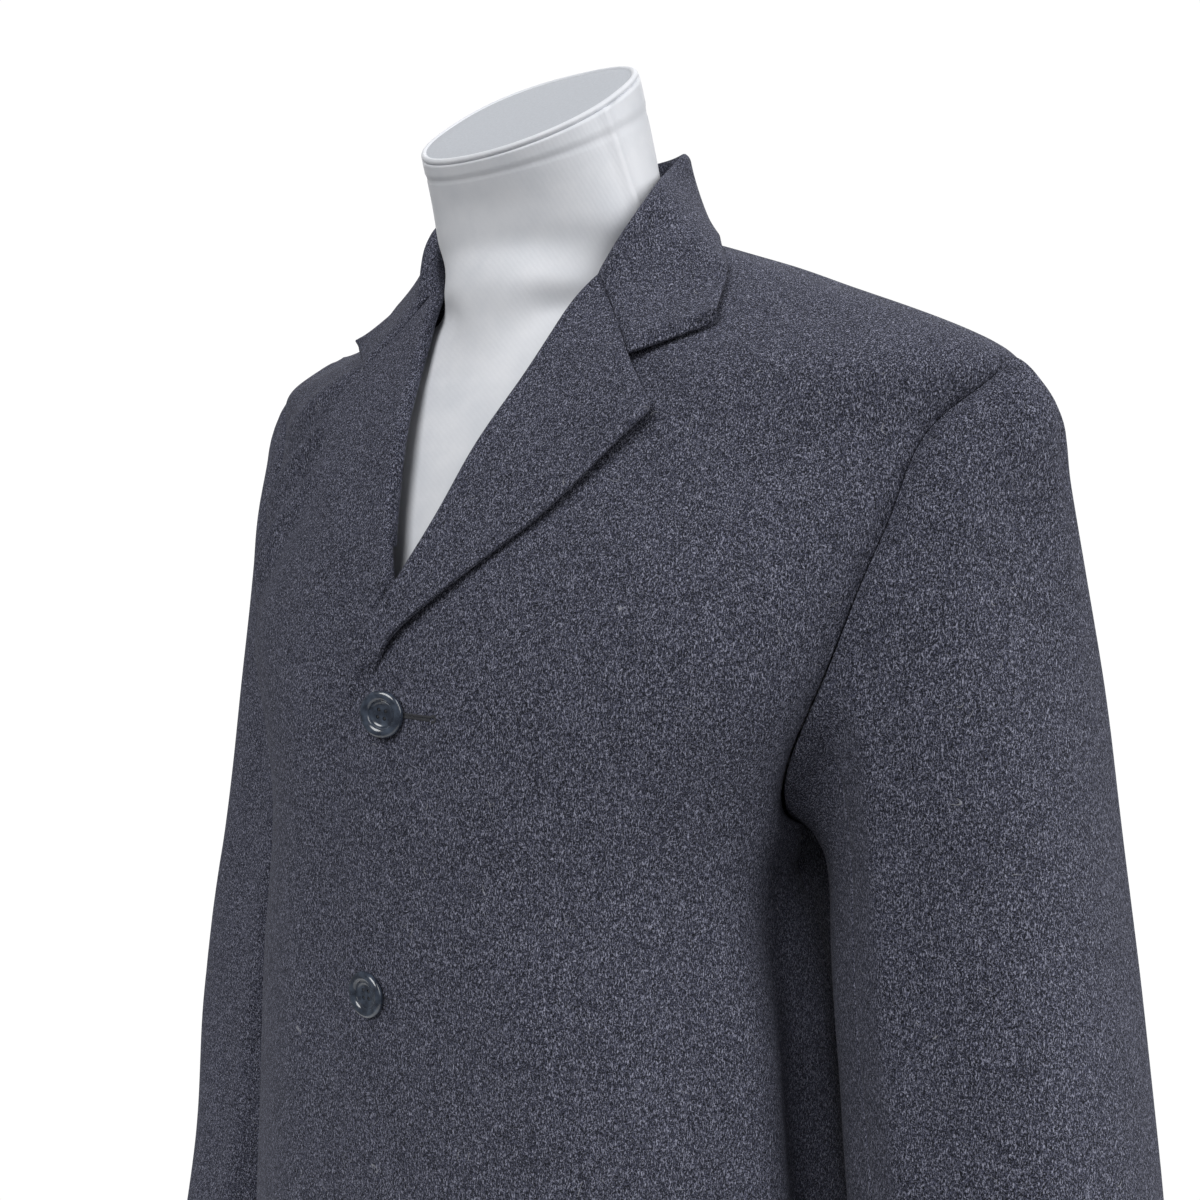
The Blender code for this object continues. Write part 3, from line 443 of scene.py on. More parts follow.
def brushedSteel():
    material, tree = newMaterial("brushedStainlessSteel")
    place = addNode(tree, "ShaderNodeTexCoord").outputs["Object"]
    mapping = addNode(tree, "ShaderNodeMapping", inputs={"Vector": place, "Scale": steelLook["brush"]})
    brush = addNode(tree, "ShaderNodeTexNoise", inputs={
        "Vector": mapping.outputs["Vector"], "Scale": 1.0, "Detail": 4.0, "Roughness": 0.6}).outputs["Fac"]
    rough = addNode(tree, "ShaderNodeMapRange", inputs={
        "Value": brush, "From Min": 0.3, "From Max": 0.7, "To Min": 0.30, "To Max": 0.38})
    colour = addNode(tree, "ShaderNodeValToRGB", {
        "stops": ((0.3, steelLook["dark"]), (0.7, steelLook["light"]))}, {"Fac": brush})
    bump = addNode(tree, "ShaderNodeBump", inputs={"Strength": 0.05, "Distance": 0.0001, "Height": brush})
    return finished(material, {
        "Base Color": colour.outputs["Color"], "Metallic": 1.0, "Roughness": rough.outputs["Result"],
        "Normal": bump.outputs["Normal"]})


wool = meltonWool()
polyester = castPolyester()
thread = sewingThread()
jersey = whiteJersey()
capFelt = capCover()
steel = brushedSteel()
print("materials made")


# The coat's body: its rows and armhole are the frame's, and its roll line is fitted closer
bodyShape = {
    # height, halfWidth, centreY, frontDepth, backDepth, frontPower
    "rows": (
        (0.450, 0.262, 0.000, 0.164, 0.170, 2.2),
        (0.620, 0.246, -0.003, 0.158, 0.167, 2.2),
        (0.780, 0.225, -0.011, 0.148, 0.162, 2.1),
        (0.900, 0.206, -0.022, 0.136, 0.157, 2.05),
        (1.030, 0.190, -0.037, 0.120, 0.155, 2.0),
        (1.110, 0.181, -0.042, 0.114, 0.152, 2.0),
        (1.180, 0.172, -0.041, 0.113, 0.142, 2.05),
        (1.230, 0.189, -0.027, 0.124, 0.136, 2.1),
        (1.280, 0.2205, -0.010, 0.1335, 0.132, 2.1),
        (1.335, 0.239, 0.001, 0.129, 0.128, 1.95),
        (1.370, 0.249, 0.006, 0.1205, 0.123, 1.75),
        (1.395, 0.2545, 0.010, 0.115, 0.118, 1.60),
        (1.415, 0.260, 0.013, 0.1085, 0.115, 1.55),
        (1.441, 0.2655, 0.018, 0.0980, 0.111, 1.50),
        (1.458, 0.240, 0.020, 0.0930, 0.106, 1.35),
        (1.474, 0.202, 0.020, 0.0885, 0.098, 1.25),
        (1.486, 0.170, 0.020, 0.0840, 0.089, 1.22),
        (1.498, 0.139, 0.020, 0.0765, 0.077, 1.25),
        (1.510, 0.104, 0.019, 0.0560, 0.060, 1.40),
        (1.520, 0.078, 0.018, 0.0400, 0.046, 1.60),
    ),
    "backPower": 2.5,
    "edgeX": 0.022,             # how far a front passes the centre line at the hem
    "sideSeam": math.radians(24),
    # along, frontY, backY, height
    "armhole": (
        (0.00, 0.022, 0.022, 1.190),
        (0.14, -0.012, 0.050, 1.203),
        (0.28, -0.040, 0.070, 1.236),
        (0.42, -0.049, 0.082, 1.283),
        (0.56, -0.042, 0.086, 1.328),
        (0.70, -0.0295, 0.081, 1.366),
        (0.85, -0.013, 0.062, 1.405),
        (1.00, 0.018, 0.018, 1.441),
    ),
    # lapel roll line up to the shoulder: along, x, height
    "roll": (
        (0.00, -0.0255, 1.257),
        (0.10, -0.0200, 1.284),
        (0.20, -0.0045, 1.310),
        (0.30, 0.0097, 1.336),
        (0.42, 0.0217, 1.366),
        (0.52, 0.0305, 1.393),
        (0.63, 0.0422, 1.423),
        (0.74, 0.0508, 1.4535),
        (0.81, 0.0562, 1.472),
        (0.865, 0.0626, 1.4865),
        (0.92, 0.0718, 1.4975),
        (0.96, 0.0802, 1.506),
        (1.00, 0.0885, 1.5155),
    ),
    "edgeTurn": 1.100,          # from here up the front edge swings toward the break
    "sideTurn": 0.900,          # from here up the side seam swings toward the armhole
    "rightShift": 0.0095,       # the right roll line lies further out near the break
    "shiftAlong": (0.12, 0.30, 0.66),   # it is whole from the first to the second, gone at the last
    "gorgeAlong": 0.865,        # where the collar is sewn on
    "nape": 1.5145,
    "samples": 60,              # points along a long seam before it is spaced by length
    "clearTop": 0.008,          # pieces are pushed clear of the body up to this far above it
    "clearFade": 0.010,
}
bodyRow = smoothCurve(bodyShape["rows"])
armholeRow = smoothCurve(bodyShape["armhole"])
rollRow = smoothCurve(bodyShape["roll"])
hemHeight = bodyShape["rows"][0][0]
underarm = bodyShape["armhole"][0][3]
shoulderTip = bodyShape["armhole"][-1][3]


def rollLine(stations, under):
    rows = rollRow(stations)
    if under:
        full, fade, gone = bodyShape["shiftAlong"]
        share = easeStep((gone - stations) / (gone - fade)) * easeStep(stations / full)
        rows[:, 0] += bodyShape["rightShift"] * share
    return rows


def sectionPoint(angle, height, halfWidth, centreY, frontDepth, backDepth, frontPower, backPower=2.5):
    # superellipse section; angle -90 is the front centre, 0 the left side
    cosine, sine = np.cos(angle), np.sin(angle)
    power = np.where(sine < 0, frontPower, backPower)
    size = (np.abs(cosine) ** power + np.abs(sine) ** power) ** (1 / power)
    depth = np.where(sine < 0, frontDepth, backDepth)
    return np.stack([halfWidth * cosine / size, centreY + depth * sine / size,
                     np.asarray(height, float) + 0 * angle], -1)


def bodyPoint(angle, height):
    angle, height = np.broadcast_arrays(np.asarray(angle, float), np.asarray(height, float))
    return sectionPoint(angle, height, *np.moveaxis(bodyRow(height), -1, 0))


def bodyNormal(angle, height):
    small = 0.002
    around = bodyPoint(angle + small, height) - bodyPoint(angle - small, height)
    upward = bodyPoint(angle, height + small) - bodyPoint(angle, height - small)
    return unit(np.cross(around, upward))


def angleFromX(x, height, back=False):
    row = bodyRow(height)
    power = bodyShape["backPower"] if back else row[..., 4]
    cosine = np.clip(x / row[..., 0], -1, 1)
    sine = (1 - np.abs(cosine) ** power) ** (1 / power)
    return np.arctan2(sine if back else -sine, cosine)


def angleFromY(y, height):
    row = bodyRow(height)
    front = y < row[..., 1]
    depth = np.where(front, row[..., 2], row[..., 3])
    power = np.where(front, row[..., 4], bodyShape["backPower"])
    sine = np.clip((y - row[..., 1]) / depth, -1, 1)
    return np.arctan2(sine, (1 - np.abs(sine) ** power) ** (1 / power))


def bodyFraction(points):
    height = np.clip(points[..., 2], bodyShape["rows"][0][0], bodyShape["rows"][-1][0])
    row = bodyRow(height)
    front = points[..., 1] < row[..., 1]
    depth = np.where(front, row[..., 2], row[..., 3])
    power = np.where(front, row[..., 4], bodyShape["backPower"])
    across = np.abs(points[..., 0] / row[..., 0]) ** power
    along = np.abs((points[..., 1] - row[..., 1]) / depth) ** power
    return (across + along) ** (1 / power)


def pushOut(points, clearance):
    # moves points out until they clear the body surface
    moved = points.copy()
    small = 0.0005
    top = bodyShape["rows"][-1][0] + bodyShape["clearTop"]
    for _ in range(4):
        slope = np.stack([(bodyFraction(moved + small * axis) - bodyFraction(moved - small * axis))
                          / (2 * small) for axis in np.eye(3)], -1)
        length = np.linalg.norm(slope, axis=-1, keepdims=True)
        distance = (bodyFraction(moved) - 1) / length[..., 0]
        near = easeStep((top - moved[..., 2]) / bodyShape["clearFade"])
        short = np.maximum(clearance - distance, 0) * near
        moved = moved + slope / length * short[..., None]
    return moved


def byLength(curve, fractions):
    points = bodyPoint(curve[:, 0], curve[:, 1])
    return joinByLength(np.concatenate([points, curve], 1), fractions)[:, 3:]


# Front and back panels

panel = {
    "lowRows": 150,         # hem to underarm
    "highRows": 96,         # underarm to shoulder
    "neckRows": 34,
    "frontColumns": 78,
    "backColumns": 66,
    "seamDip": 0.0008,      # how far a sewn edge sinks, over what reach and how sharply
    "seamReach": 0.008,
    "seamPower": 1.5,
    "armholeDip": 0.0022,
    "armholeReach": 0.0045,
    "armholePower": 1.3,
    "armholeFade": 0.05,    # it fades out this far under the underarm
    "valley": 0.0085,       # the hollow between chest and sleeve, low in front
    "valleyTop": 1.400,
    "valleyRun": 0.13,
    "valleyReach": 3.2,     # a deeper hollow is wider by this much of its depth
    "backY": 0.02,          # behind here the hollow is only this share as deep
    "backValley": 0.55,
    "underX": (0.035, 0.085),       # the right front is sunk as far as here, and level past here
    "underHeight": (1.345, 1.400),
    "swell": 0.0007,
    "swellSize": 0.16,
}
# Soft folds of the body: face, x1, z1, x2, z2, width, rise; -x is the wearer's right. On the
# left and right sides, degrees back from the side's middle take the place of x
bodyFolds = (
    ("front", -0.112, 1.452, -0.222, 1.404, 0.0075, 0.0036),
    ("front", -0.112, 1.440, -0.220, 1.378, 0.0075, -0.0026),
    ("front", -0.110, 1.428, -0.218, 1.352, 0.0095, 0.0058),
    ("front", -0.110, 1.412, -0.214, 1.326, 0.0100, -0.0044),
    ("front", -0.110, 1.396, -0.206, 1.296, 0.0110, 0.0050),
    ("front", -0.116, 1.372, -0.192, 1.272, 0.0120, -0.0036),
    ("front", 0.060, 1.180, 0.120, 1.020, 0.030, 0.0016),
    ("front", 0.135, 1.150, 0.150, 0.900, 0.022, 0.0020),
    ("front", -0.150, 1.120, -0.160, 0.860, 0.022, 0.0020),
    ("front", -0.085, 0.980, -0.110, 0.600, 0.034, 0.0030),
    ("front", 0.090, 0.900, 0.120, 0.520, 0.034, 0.0034),
    ("front", 0.170, 0.820, 0.205, 0.480, 0.026, -0.0030),
    ("front", -0.170, 0.820, -0.205, 0.480, 0.026, -0.0028),
    ("back", 0.060, 1.440, 0.190, 1.330, 0.016, 0.0020),
    ("back", -0.060, 1.445, -0.195, 1.340, 0.016, 0.0018),
    ("back", 0.080, 1.400, 0.185, 1.270, 0.018, -0.0018),
    ("back", -0.085, 1.405, -0.190, 1.280, 0.018, -0.0020),
    ("back", 0.110, 1.300, 0.150, 1.080, 0.020, 0.0030),
    ("back", -0.115, 1.310, -0.150, 1.090, 0.020, 0.0026),
    ("back", 0.060, 1.120, 0.085, 0.760, 0.026, 0.0030),
    ("back", -0.055, 1.080, -0.080, 0.700, 0.026, 0.0034),
    ("back", 0.120, 0.900, 0.150, 0.500, 0.030, -0.0034),
    ("back", -0.125, 0.900, -0.155, 0.500, 0.030, -0.0030),
    ("back", -0.050, 1.492, 0.050, 1.490, 0.010, -0.0012),
    ("left", 43, 1.330, 43, 0.900, 0.027, 0.0200),
    ("right", 43, 1.330, 43, 0.900, 0.027, 0.0150),
    ("left", -14, 1.200, -14, 0.760, 0.018, 0.0060),
    ("left", 8, 1.185, 8, 0.740, 0.024, -0.0150),
    ("right", 2, 1.230, 2, 0.740, 0.022, -0.0140),
    ("right", -18, 1.260, -14, 0.760, 0.016, 0.0050),
    ("front", 0.1020, 1.4440, 0.1235, 1.4150, 0.0050, -0.0030),
    ("front", -0.128, 1.488, -0.222, 1.462, 0.030, -0.0090),
)


def bodyPath(face, start, low, end, high, steps=14):
    across, z = np.linspace(start, end, steps), np.linspace(low, high, steps)
    if face in ("left", "right"):
        points = bodyPoint(np.radians(across), z)
        return points if face == "left" else mirrored(points)
    points = bodyPoint(angleFromX(np.abs(across), z, back=face == "back"), z)
    points[:, 0] *= np.sign(across)
    return points


bodyFoldPaths = [(bodyPath(*fold[:5]), fold[5], fold[6]) for fold in bodyFolds]


def frontEdge(low, high, under=False):
    _, breakX, breakHeight = bodyShape["roll"][0]
    turn = bodyShape["edgeTurn"]
    heights = np.linspace(hemHeight, breakHeight, bodyShape["samples"])
    grow = easeStep((heights - turn) / (breakHeight - turn))
    reach = bodyShape["edgeX"] + (-breakX - bodyShape["edgeX"]) * grow
    edge = byLength(np.stack([angleFromX(-reach, heights), heights], -1), np.linspace(0, 1, low + 1))
    roll = rollLine(np.linspace(0, 1, high + 1)[1:], under)
    top = np.stack([angleFromX(roll[:, 0], roll[:, 1]), roll[:, 1]], -1)
    top[-1, 0] = 0.0
    return np.concatenate([edge, top])


def sideEdge(back, low, high):
    heights = np.linspace(hemHeight, underarm, bodyShape["samples"])
    seam = np.stack([np.full(len(heights), angleFromY(bodyShape["armhole"][0][1], underarm)), heights], -1)
    turn = bodyShape["sideTurn"]
    blend = easeStep((heights - turn) / (underarm - turn))
    seam[:, 0] = bodyShape["sideSeam"] * (1 - blend) + seam[:, 0] * blend
    arm = armholeRow(np.linspace(0, 1, 160)[1:])
    y = arm[:, 1] if back else arm[:, 0]
    top = np.stack([angleFromY(y, arm[:, 2]), arm[:, 2]], -1)
    top[-1, 0] = 0.0
    below = byLength(seam, np.linspace(0, 1, low + 1))
    above = byLength(np.concatenate([seam[-1:], top]), np.linspace(0, 1, high + 1))
    return np.concatenate([below, above[1:]])


def backEdge(spans, neck):
    nape, samples = bodyShape["nape"], bodyShape["samples"]
    seam = np.stack([np.full(samples, math.pi / 2), np.linspace(hemHeight, nape, samples)], -1)
    turn = np.linspace(math.pi / 2, 0, samples)[1:]
    collarLine = np.stack([turn, np.linspace(nape, bodyShape["roll"][-1][2], samples - 1)], -1)
    below = byLength(seam, np.linspace(0, 1, spans - neck + 1))
    above = byLength(np.concatenate([seam[-1:], collarLine]), np.linspace(0, 1, neck + 1))
    return np.concatenate([below, above[1:]])


def underDepth(points):
    # how far the right front's pieces sink to lie under the left front
    (full, clear), (whole, top) = panel["underX"], panel["underHeight"]
    share = easeStep((clear - points[..., 0]) / (clear - full))
    return (cloth["thickness"] + cloth["lapGap"]) * share * easeStep((top - points[..., 2]) / (top - whole))


def armholeDepth(points):
    # how far the armhole seam sinks: deep in the hollow low in front and behind
    low = easeStep((panel["valleyTop"] - points[..., 2]) / panel["valleyRun"])
    share = np.where(points[..., 1] < panel["backY"], 1.0, panel["backValley"])
    return panel["armholeDip"] + panel["valley"] * low * share


def edgeDip(points, edges, armhole):
    # sinks the cloth toward its sewn edges
    total = np.zeros(points.shape[:-1])
    for line in edges:
        distance = np.linalg.norm(points - line, axis=-1)
        total -= panel["seamDip"] * np.exp(-(distance / panel["seamReach"]) ** panel["seamPower"])
    distance = np.linalg.norm(points - armhole, axis=-1)
    depth = armholeDepth(armhole)
    reach = panel["armholeReach"] + panel["valleyReach"] * (depth - panel["armholeDip"])
    above = easeStep((armhole[..., 2] - underarm + panel["armholeFade"]) / panel["armholeFade"])
    total -= depth * above * np.exp(-(distance / reach) ** panel["armholePower"])
    return total


def panelWall(name, inner, outer, columns, side, under=False, sewnInner=False):
    share = denseShares(columns)[None, :, None]
    patch = inner[:, None, :] * (1 - share) + outer[:, None, :] * share
    angle = patch[..., 0].copy()
    angle[-1] = 0
    base = bodyPoint(patch[..., 0], patch[..., 1])
    normal = bodyNormal(angle, patch[..., 1])
    dip = edgeDip(base, [base[-1:]] + ([base[:, :1]] if sewnInner else []), base[:, -1:])
    if under:
        base = base - normal * underDepth(base)[..., None]
    if side < 0:
        base, normal = mirrored(base), mirrored(normal)
    rise = foldField(base, bodyFoldPaths) + softUneven(base, panel["swellSize"], panel["swell"], 3) + dip
    surface = base + normal * rise[..., None]
    return clothWall(name, surface, surface - normal * cloth["thickness"], wool)


low, high = panel["lowRows"], panel["highRows"]
frontLeft = panelWall("coatFrontLeft", frontEdge(low, high), sideEdge(False, low, high),
                      panel["frontColumns"], side=1)
frontRight = panelWall("coatFrontRight", frontEdge(low, high, under=True), sideEdge(False, low, high),
                       panel["frontColumns"], side=-1, under=True)
backLeft = panelWall("coatBackLeft", backEdge(low + high, panel["neckRows"]), sideEdge(True, low, high),
                     panel["backColumns"], side=1, sewnInner=True)
backRight = panelWall("coatBackRight", backEdge(low + high, panel["neckRows"]), sideEdge(True, low, high),
                      panel["backColumns"], side=-1, sewnInner=True)
print("fronts and backs made")


# Lapels: the facing turned out along the roll line, soft and standing off near the break

lapel = {
    # outer edge, break to tip: along, x, height
    "edge": (
        (0.00, -0.0150, 1.266),
        (0.12, -0.0010, 1.291),
        (0.28, 0.0170, 1.309),
        (0.42, 0.0360, 1.3245),
        (0.58, 0.0605, 1.345),
        (0.75, 0.0865, 1.369),
        (0.88, 0.1060, 1.394),
        (1.00, 0.1220, 1.4135),
    ),
    "notchCorner": (0.098, 1.4425),
    "notchShare": 0.62,     # the collar is sewn on up to this share of the lapel's top
    "breakRoll": 0.0045,
    "topRoll": 0.0016,
    "rightStart": 0.06,
    "thinUnder": 0.0009,    # the right lapel where the left front covers it
    "coverPast": 0.0056,    # it is covered this far past the left front's edge
    "coverRun": 0.008,
    "coveredGap": 0.0002,
    "flatBelow": 1.345,     # the right fold is pressed flat up to here
    "growShare": 0.13,      # the left lapel has grown out of its front's edge by here
    "growDepth": 0.004,
    "rows": 100,
    "columns": 46,
    "crowding": 0.5,
    "foldSteps": 14,
    "foldGap": 0.0003,
    "foldLeast": 0.0004,    # the fold is never tighter than this
    "edgeLift": 0.0026,     # the free edge stands this much off near the break
    "liftAlong": 0.30,
    "tipLift": 0.0048,      # and this much at its tip
    "tipStart": 0.5,
    "liftPower": 1.5,
    "belly": 0.0012,
    "tipRound": 0.006,      # the tip is drawn in over this distance, by this share of it
    "tipDraw": 0.30,
}
lapelEdgeRow = smoothCurve(lapel["edge"])
lapelShares = denseShares(lapel["columns"], lapel["crowding"])


def lapelPlan(roll, edge, rows):
    # x and height from the roll line to the edge, with the notch's corner in the top line
    corner, tip, gorge = np.array(lapel["notchCorner"]), edge[-1], roll[-1]
    before = np.minimum(lapelShares / lapel["notchShare"], 1)[:, None]
    after = np.maximum((lapelShares - lapel["notchShare"]) / (1 - lapel["notchShare"]), 0)[:, None]
    topLine = gorge + (corner - gorge) * before + (tip - corner) * after
    straight = gorge + (tip - gorge) * lapelShares[:, None]
    share = lapelShares[None, :, None]
    plan = roll[:, None] * (1 - share) + edge[:, None] * share
    plan = plan + (topLine - straight)[None] * (rows ** 3)[:, None, None]
    nearTop = np.maximum(1 - np.linalg.norm(plan - plan[-1:], axis=-1) / lapel["tipRound"], 0)
    nearEdge = np.maximum(1 - np.linalg.norm(plan - plan[:, -1:], axis=-1) / lapel["tipRound"], 0)
    inward = unit(unit(plan[-1, -2] - plan[-1, -1]) + unit(plan[-2, -1] - plan[-1, -1]))
    draw = lapel["tipDraw"] * lapel["tipRound"] * nearTop ** 2 * nearEdge ** 2
    return plan + inward * draw[..., None]


def lapelFold(base, normal, gap, thickness, pressed):
    # the turn over the roll line, outer and inner layer
    run = unit(np.gradient(base[:, 0], axis=0))
    sideways = unit(np.cross(run, normal[:, 0]))
    sideways *= -np.sign(np.sum(sideways * (base[:, 1] - base[:, 0]), -1))[:, None]
    lowest = np.where(pressed, 0, -math.pi / 2)[:, None]
    turn = lowest + (math.pi / 2 - lowest) * np.arange(lapel["foldSteps"])[None] / lapel["foldSteps"]
    wave, rise = np.cos(turn)[..., None], np.sin(turn)[..., None]
    half = np.maximum(gap[:, 0], lapel["foldLeast"])[:, None, None] / 2
    sink = np.minimum(gap[:, 0], 0.0)[:, None, None]
    layers = []
    for radius in (half + thickness[:, :1, None], half):
        out = sideways[:, None] * (lapel["foldGap"] + radius * wave)
        layers.append(base[:, :1] + out + normal[:, :1] * (sink + half + radius * rise))
    return layers


def lapelLayers(under, side):
    start = lapel["rightStart"] if under else 0.0
    stations = np.linspace(start, bodyShape["gorgeAlong"], lapel["rows"])
    rows = stations / bodyShape["gorgeAlong"]
    roll = rollLine(stations, under)
    plan = lapelPlan(roll, lapelEdgeRow(rows), rows)
    angle = angleFromX(plan[..., 0], plan[..., 1])
    base, normal = bodyPoint(angle, plan[..., 1]), bodyNormal(angle, plan[..., 1])
    if under:
        base = base - normal * underDepth(base)[..., None]
    share = lapelShares[None]
    rollHeight = lapel["breakRoll"] + (lapel["topRoll"] - lapel["breakRoll"]) * easeStep(rows)
    lift = lapel["edgeLift"] * np.exp(-((rows - lapel["liftAlong"]) / lapel["liftAlong"]) ** 2)
    lift += lapel["tipLift"] * easeStep((rows - lapel["tipStart"]) / (1 - lapel["tipStart"]))
    belly = lapel["belly"] * np.sin(math.pi * rows)
    gap = cloth["restGap"] + rollHeight[:, None] * (1 - share) ** 2
    gap = gap + lift[:, None] * share ** lapel["liftPower"] + belly[:, None] * np.sin(math.pi * share)
    thickness = np.full(gap.shape, cloth["thickness"])
    if under:
        # flat and thin where the left front lies over it
        table = np.array(bodyShape["roll"])
        cover = lapel["coverPast"] - np.interp(plan[..., 1], table[:, 2], table[:, 1])
        free = easeStep((plan[..., 0] - cover) / lapel["coverRun"])
        thickness = lapel["thinUnder"] + (thickness - lapel["thinUnder"]) * free
        gap = lapel["coveredGap"] + (gap - lapel["coveredGap"]) * free
    else:
        # the lapel grows out of the front's edge at the break
        sunk = 1 - easeStep(rows / lapel["growShare"])
        gap = gap - (cloth["thickness"] + lapel["growDepth"]) * sunk[:, None]
    innerTop = base + normal * gap[..., None]
    outerTop = innerTop + normal * thickness[..., None]
    pressed = under & (roll[:, 1] < lapel["flatBelow"])
    outerFold, innerFold = lapelFold(base, normal, gap, thickness, pressed)
    outer = np.concatenate([outerFold, outerTop], 1)
    inner = np.concatenate([innerFold, innerTop], 1)
    if side < 0:
        return mirrored(outer), mirrored(inner)
    return outer, inner


def lapelRounding():
    # the gorge is sewn flat to the collar, the other edges are round
    rounding = np.ones((lapel["rows"], lapel["foldSteps"] + lapel["columns"]))
    shares = np.concatenate([np.zeros(lapel["foldSteps"]), lapelShares])
    rounding[-1] = np.where(shares > lapel["notchShare"], 1.0, cloth["sewnRim"])
    return rounding


lapelLeft = clothWall("coatLapelLeft", *lapelLayers(under=False, side=1), wool,
                      rounding=lapelRounding())
lapelRight = clothWall("coatLapelRight", *lapelLayers(under=True, side=-1), wool,
                       rounding=lapelRounding())
print("lapels made")


# Collar: a stand that rises from the neckline, rolls over and falls on the shoulders

collarShape = {
    # along, topX, topY, topZ, edgeX, edgeY, edgeZ
    "rows": (
        (0.00, 0.0615, -0.0485, 1.4870, 0.137, -0.0385, 1.462),
        (0.13, 0.0660, -0.0415, 1.4990, 0.129, -0.0240, 1.476),
        (0.26, 0.0750, -0.0295, 1.5190, 0.1235, -0.0120, 1.493),
        (0.38, 0.0778, -0.0115, 1.5385, 0.1140, -0.0010, 1.5022),
        (0.50, 0.0698, 0.0115, 1.5505, 0.0985, 0.0180, 1.5160),
        (0.65, 0.0600, 0.0360, 1.5640, 0.080, 0.0450, 1.5170),
        (0.82, 0.0350, 0.0575, 1.5690, 0.048, 0.0765, 1.5140),
        (1.00, 0.0000, 0.0665, 1.5700, 0.000, 0.0930, 1.5055),
    ),
    "roll": 0.0042,
    "footRise": 0.0042,
    "frontReach": 0.30,     # the front end's fit to the lapel fades out by here
    "halfRows": 84,
    "crowding": 0.135,
    "standSteps": 10,
    "rollSteps": 10,
    "leafSteps": 34,
    "leafBend": 0.22,
    "leafLift": 0.0012,
    "cornerLift": 0.0060,
    "cornerAlong": 0.14,
    "clearAlong": 0.06,     # past here the leaf is kept clear of the coat
    "liftAlong": 0.03,
    "cornerRound": 0.009,   # the corner is drawn in over this distance, by this share of it
    "cornerDraw": 0.34,
}
collarRow = smoothCurve(collarShape["rows"])


def neckLine(fractions):
    stations = np.linspace(bodyShape["gorgeAlong"], 1, 12)
    roll = rollRow(stations)
    front = np.stack([angleFromX(roll[:, 0], roll[:, 1]), roll[:, 1]], -1)
    front[-1, 0] = 0
    turn = np.linspace(0, math.pi / 2, 40)[1:]
    back = np.stack([turn, np.linspace(bodyShape["roll"][-1][2], bodyShape["nape"], 39)], -1)
    where = np.concatenate([front, back])
    corners = bodyPoint(where[:, 0], where[:, 1])
    normals = bodyNormal(where[:, 0], where[:, 1])
    both = joinByLength(np.concatenate([corners, normals], 1), fractions)
    return both[:, :3], both[:, 3:]


def gorgeProfile(fractions):
    outer, inner = lapelLayers(under=False, side=1)
    last = lapel["foldSteps"] + int(np.searchsorted(lapelShares, lapel["notchShare"])) + 1
    middle = (outer[-2:, :last] + inner[-2:, :last]) / 2
    line = middle[-1] + unit(middle[-1] - middle[-2]) * 0.0002
    facing = (outer[-1, :last] - inner[-1, :last]) / cloth["thickness"]
    both = joinByLength(np.concatenate([line, facing], 1), fractions)
    return both[:, :3], both[:, 3:]


def collarPaths(along):
    # the wall's middle at each station: up the stand, over the roll and down the leaf
    stand, rolled, fallen = (collarShape[k] for k in ("standSteps", "rollSteps", "leafSteps"))
    foot, footNormal = neckLine(along)
    table = collarRow(along)
    top, edge = table[:, :3], table[:, 3:]
    foot = foot - footNormal * cloth["thickness"] / 2
    up = unit(top - foot)
    out = edge - top
    out = unit(out - up * np.sum(out * up, -1, keepdims=True))
    up, out, first, last = up[:, None], out[:, None], top[:, None], edge[:, None]
    start = foot[:, None] + up * collarShape["footRise"]
    standPath = start + (first - start) * np.linspace(0, 1, stand + 1)[None, :-1, None]
    turn = np.linspace(0, math.pi, rolled + 1)[None, :, None]
    rollPath = first + collarShape["roll"] * (out * (1 - np.cos(turn)) + up * np.sin(turn))
    begin = rollPath[:, -1:]
    drop = collarShape["leafBend"] * np.linalg.norm(last - begin, axis=-1, keepdims=True)
    t = np.linspace(0, 1, fallen + 1)[None, 1:, None]
    leafPath = (1 - t) ** 2 * begin + 2 * t * (1 - t) * (begin - up * drop) + t ** 2 * last
    paths = np.concatenate([standPath, rollPath, leafPath], 1)
    return paths, -unit(np.cross(np.cross(up, out), np.gradient(paths, axis=1)))


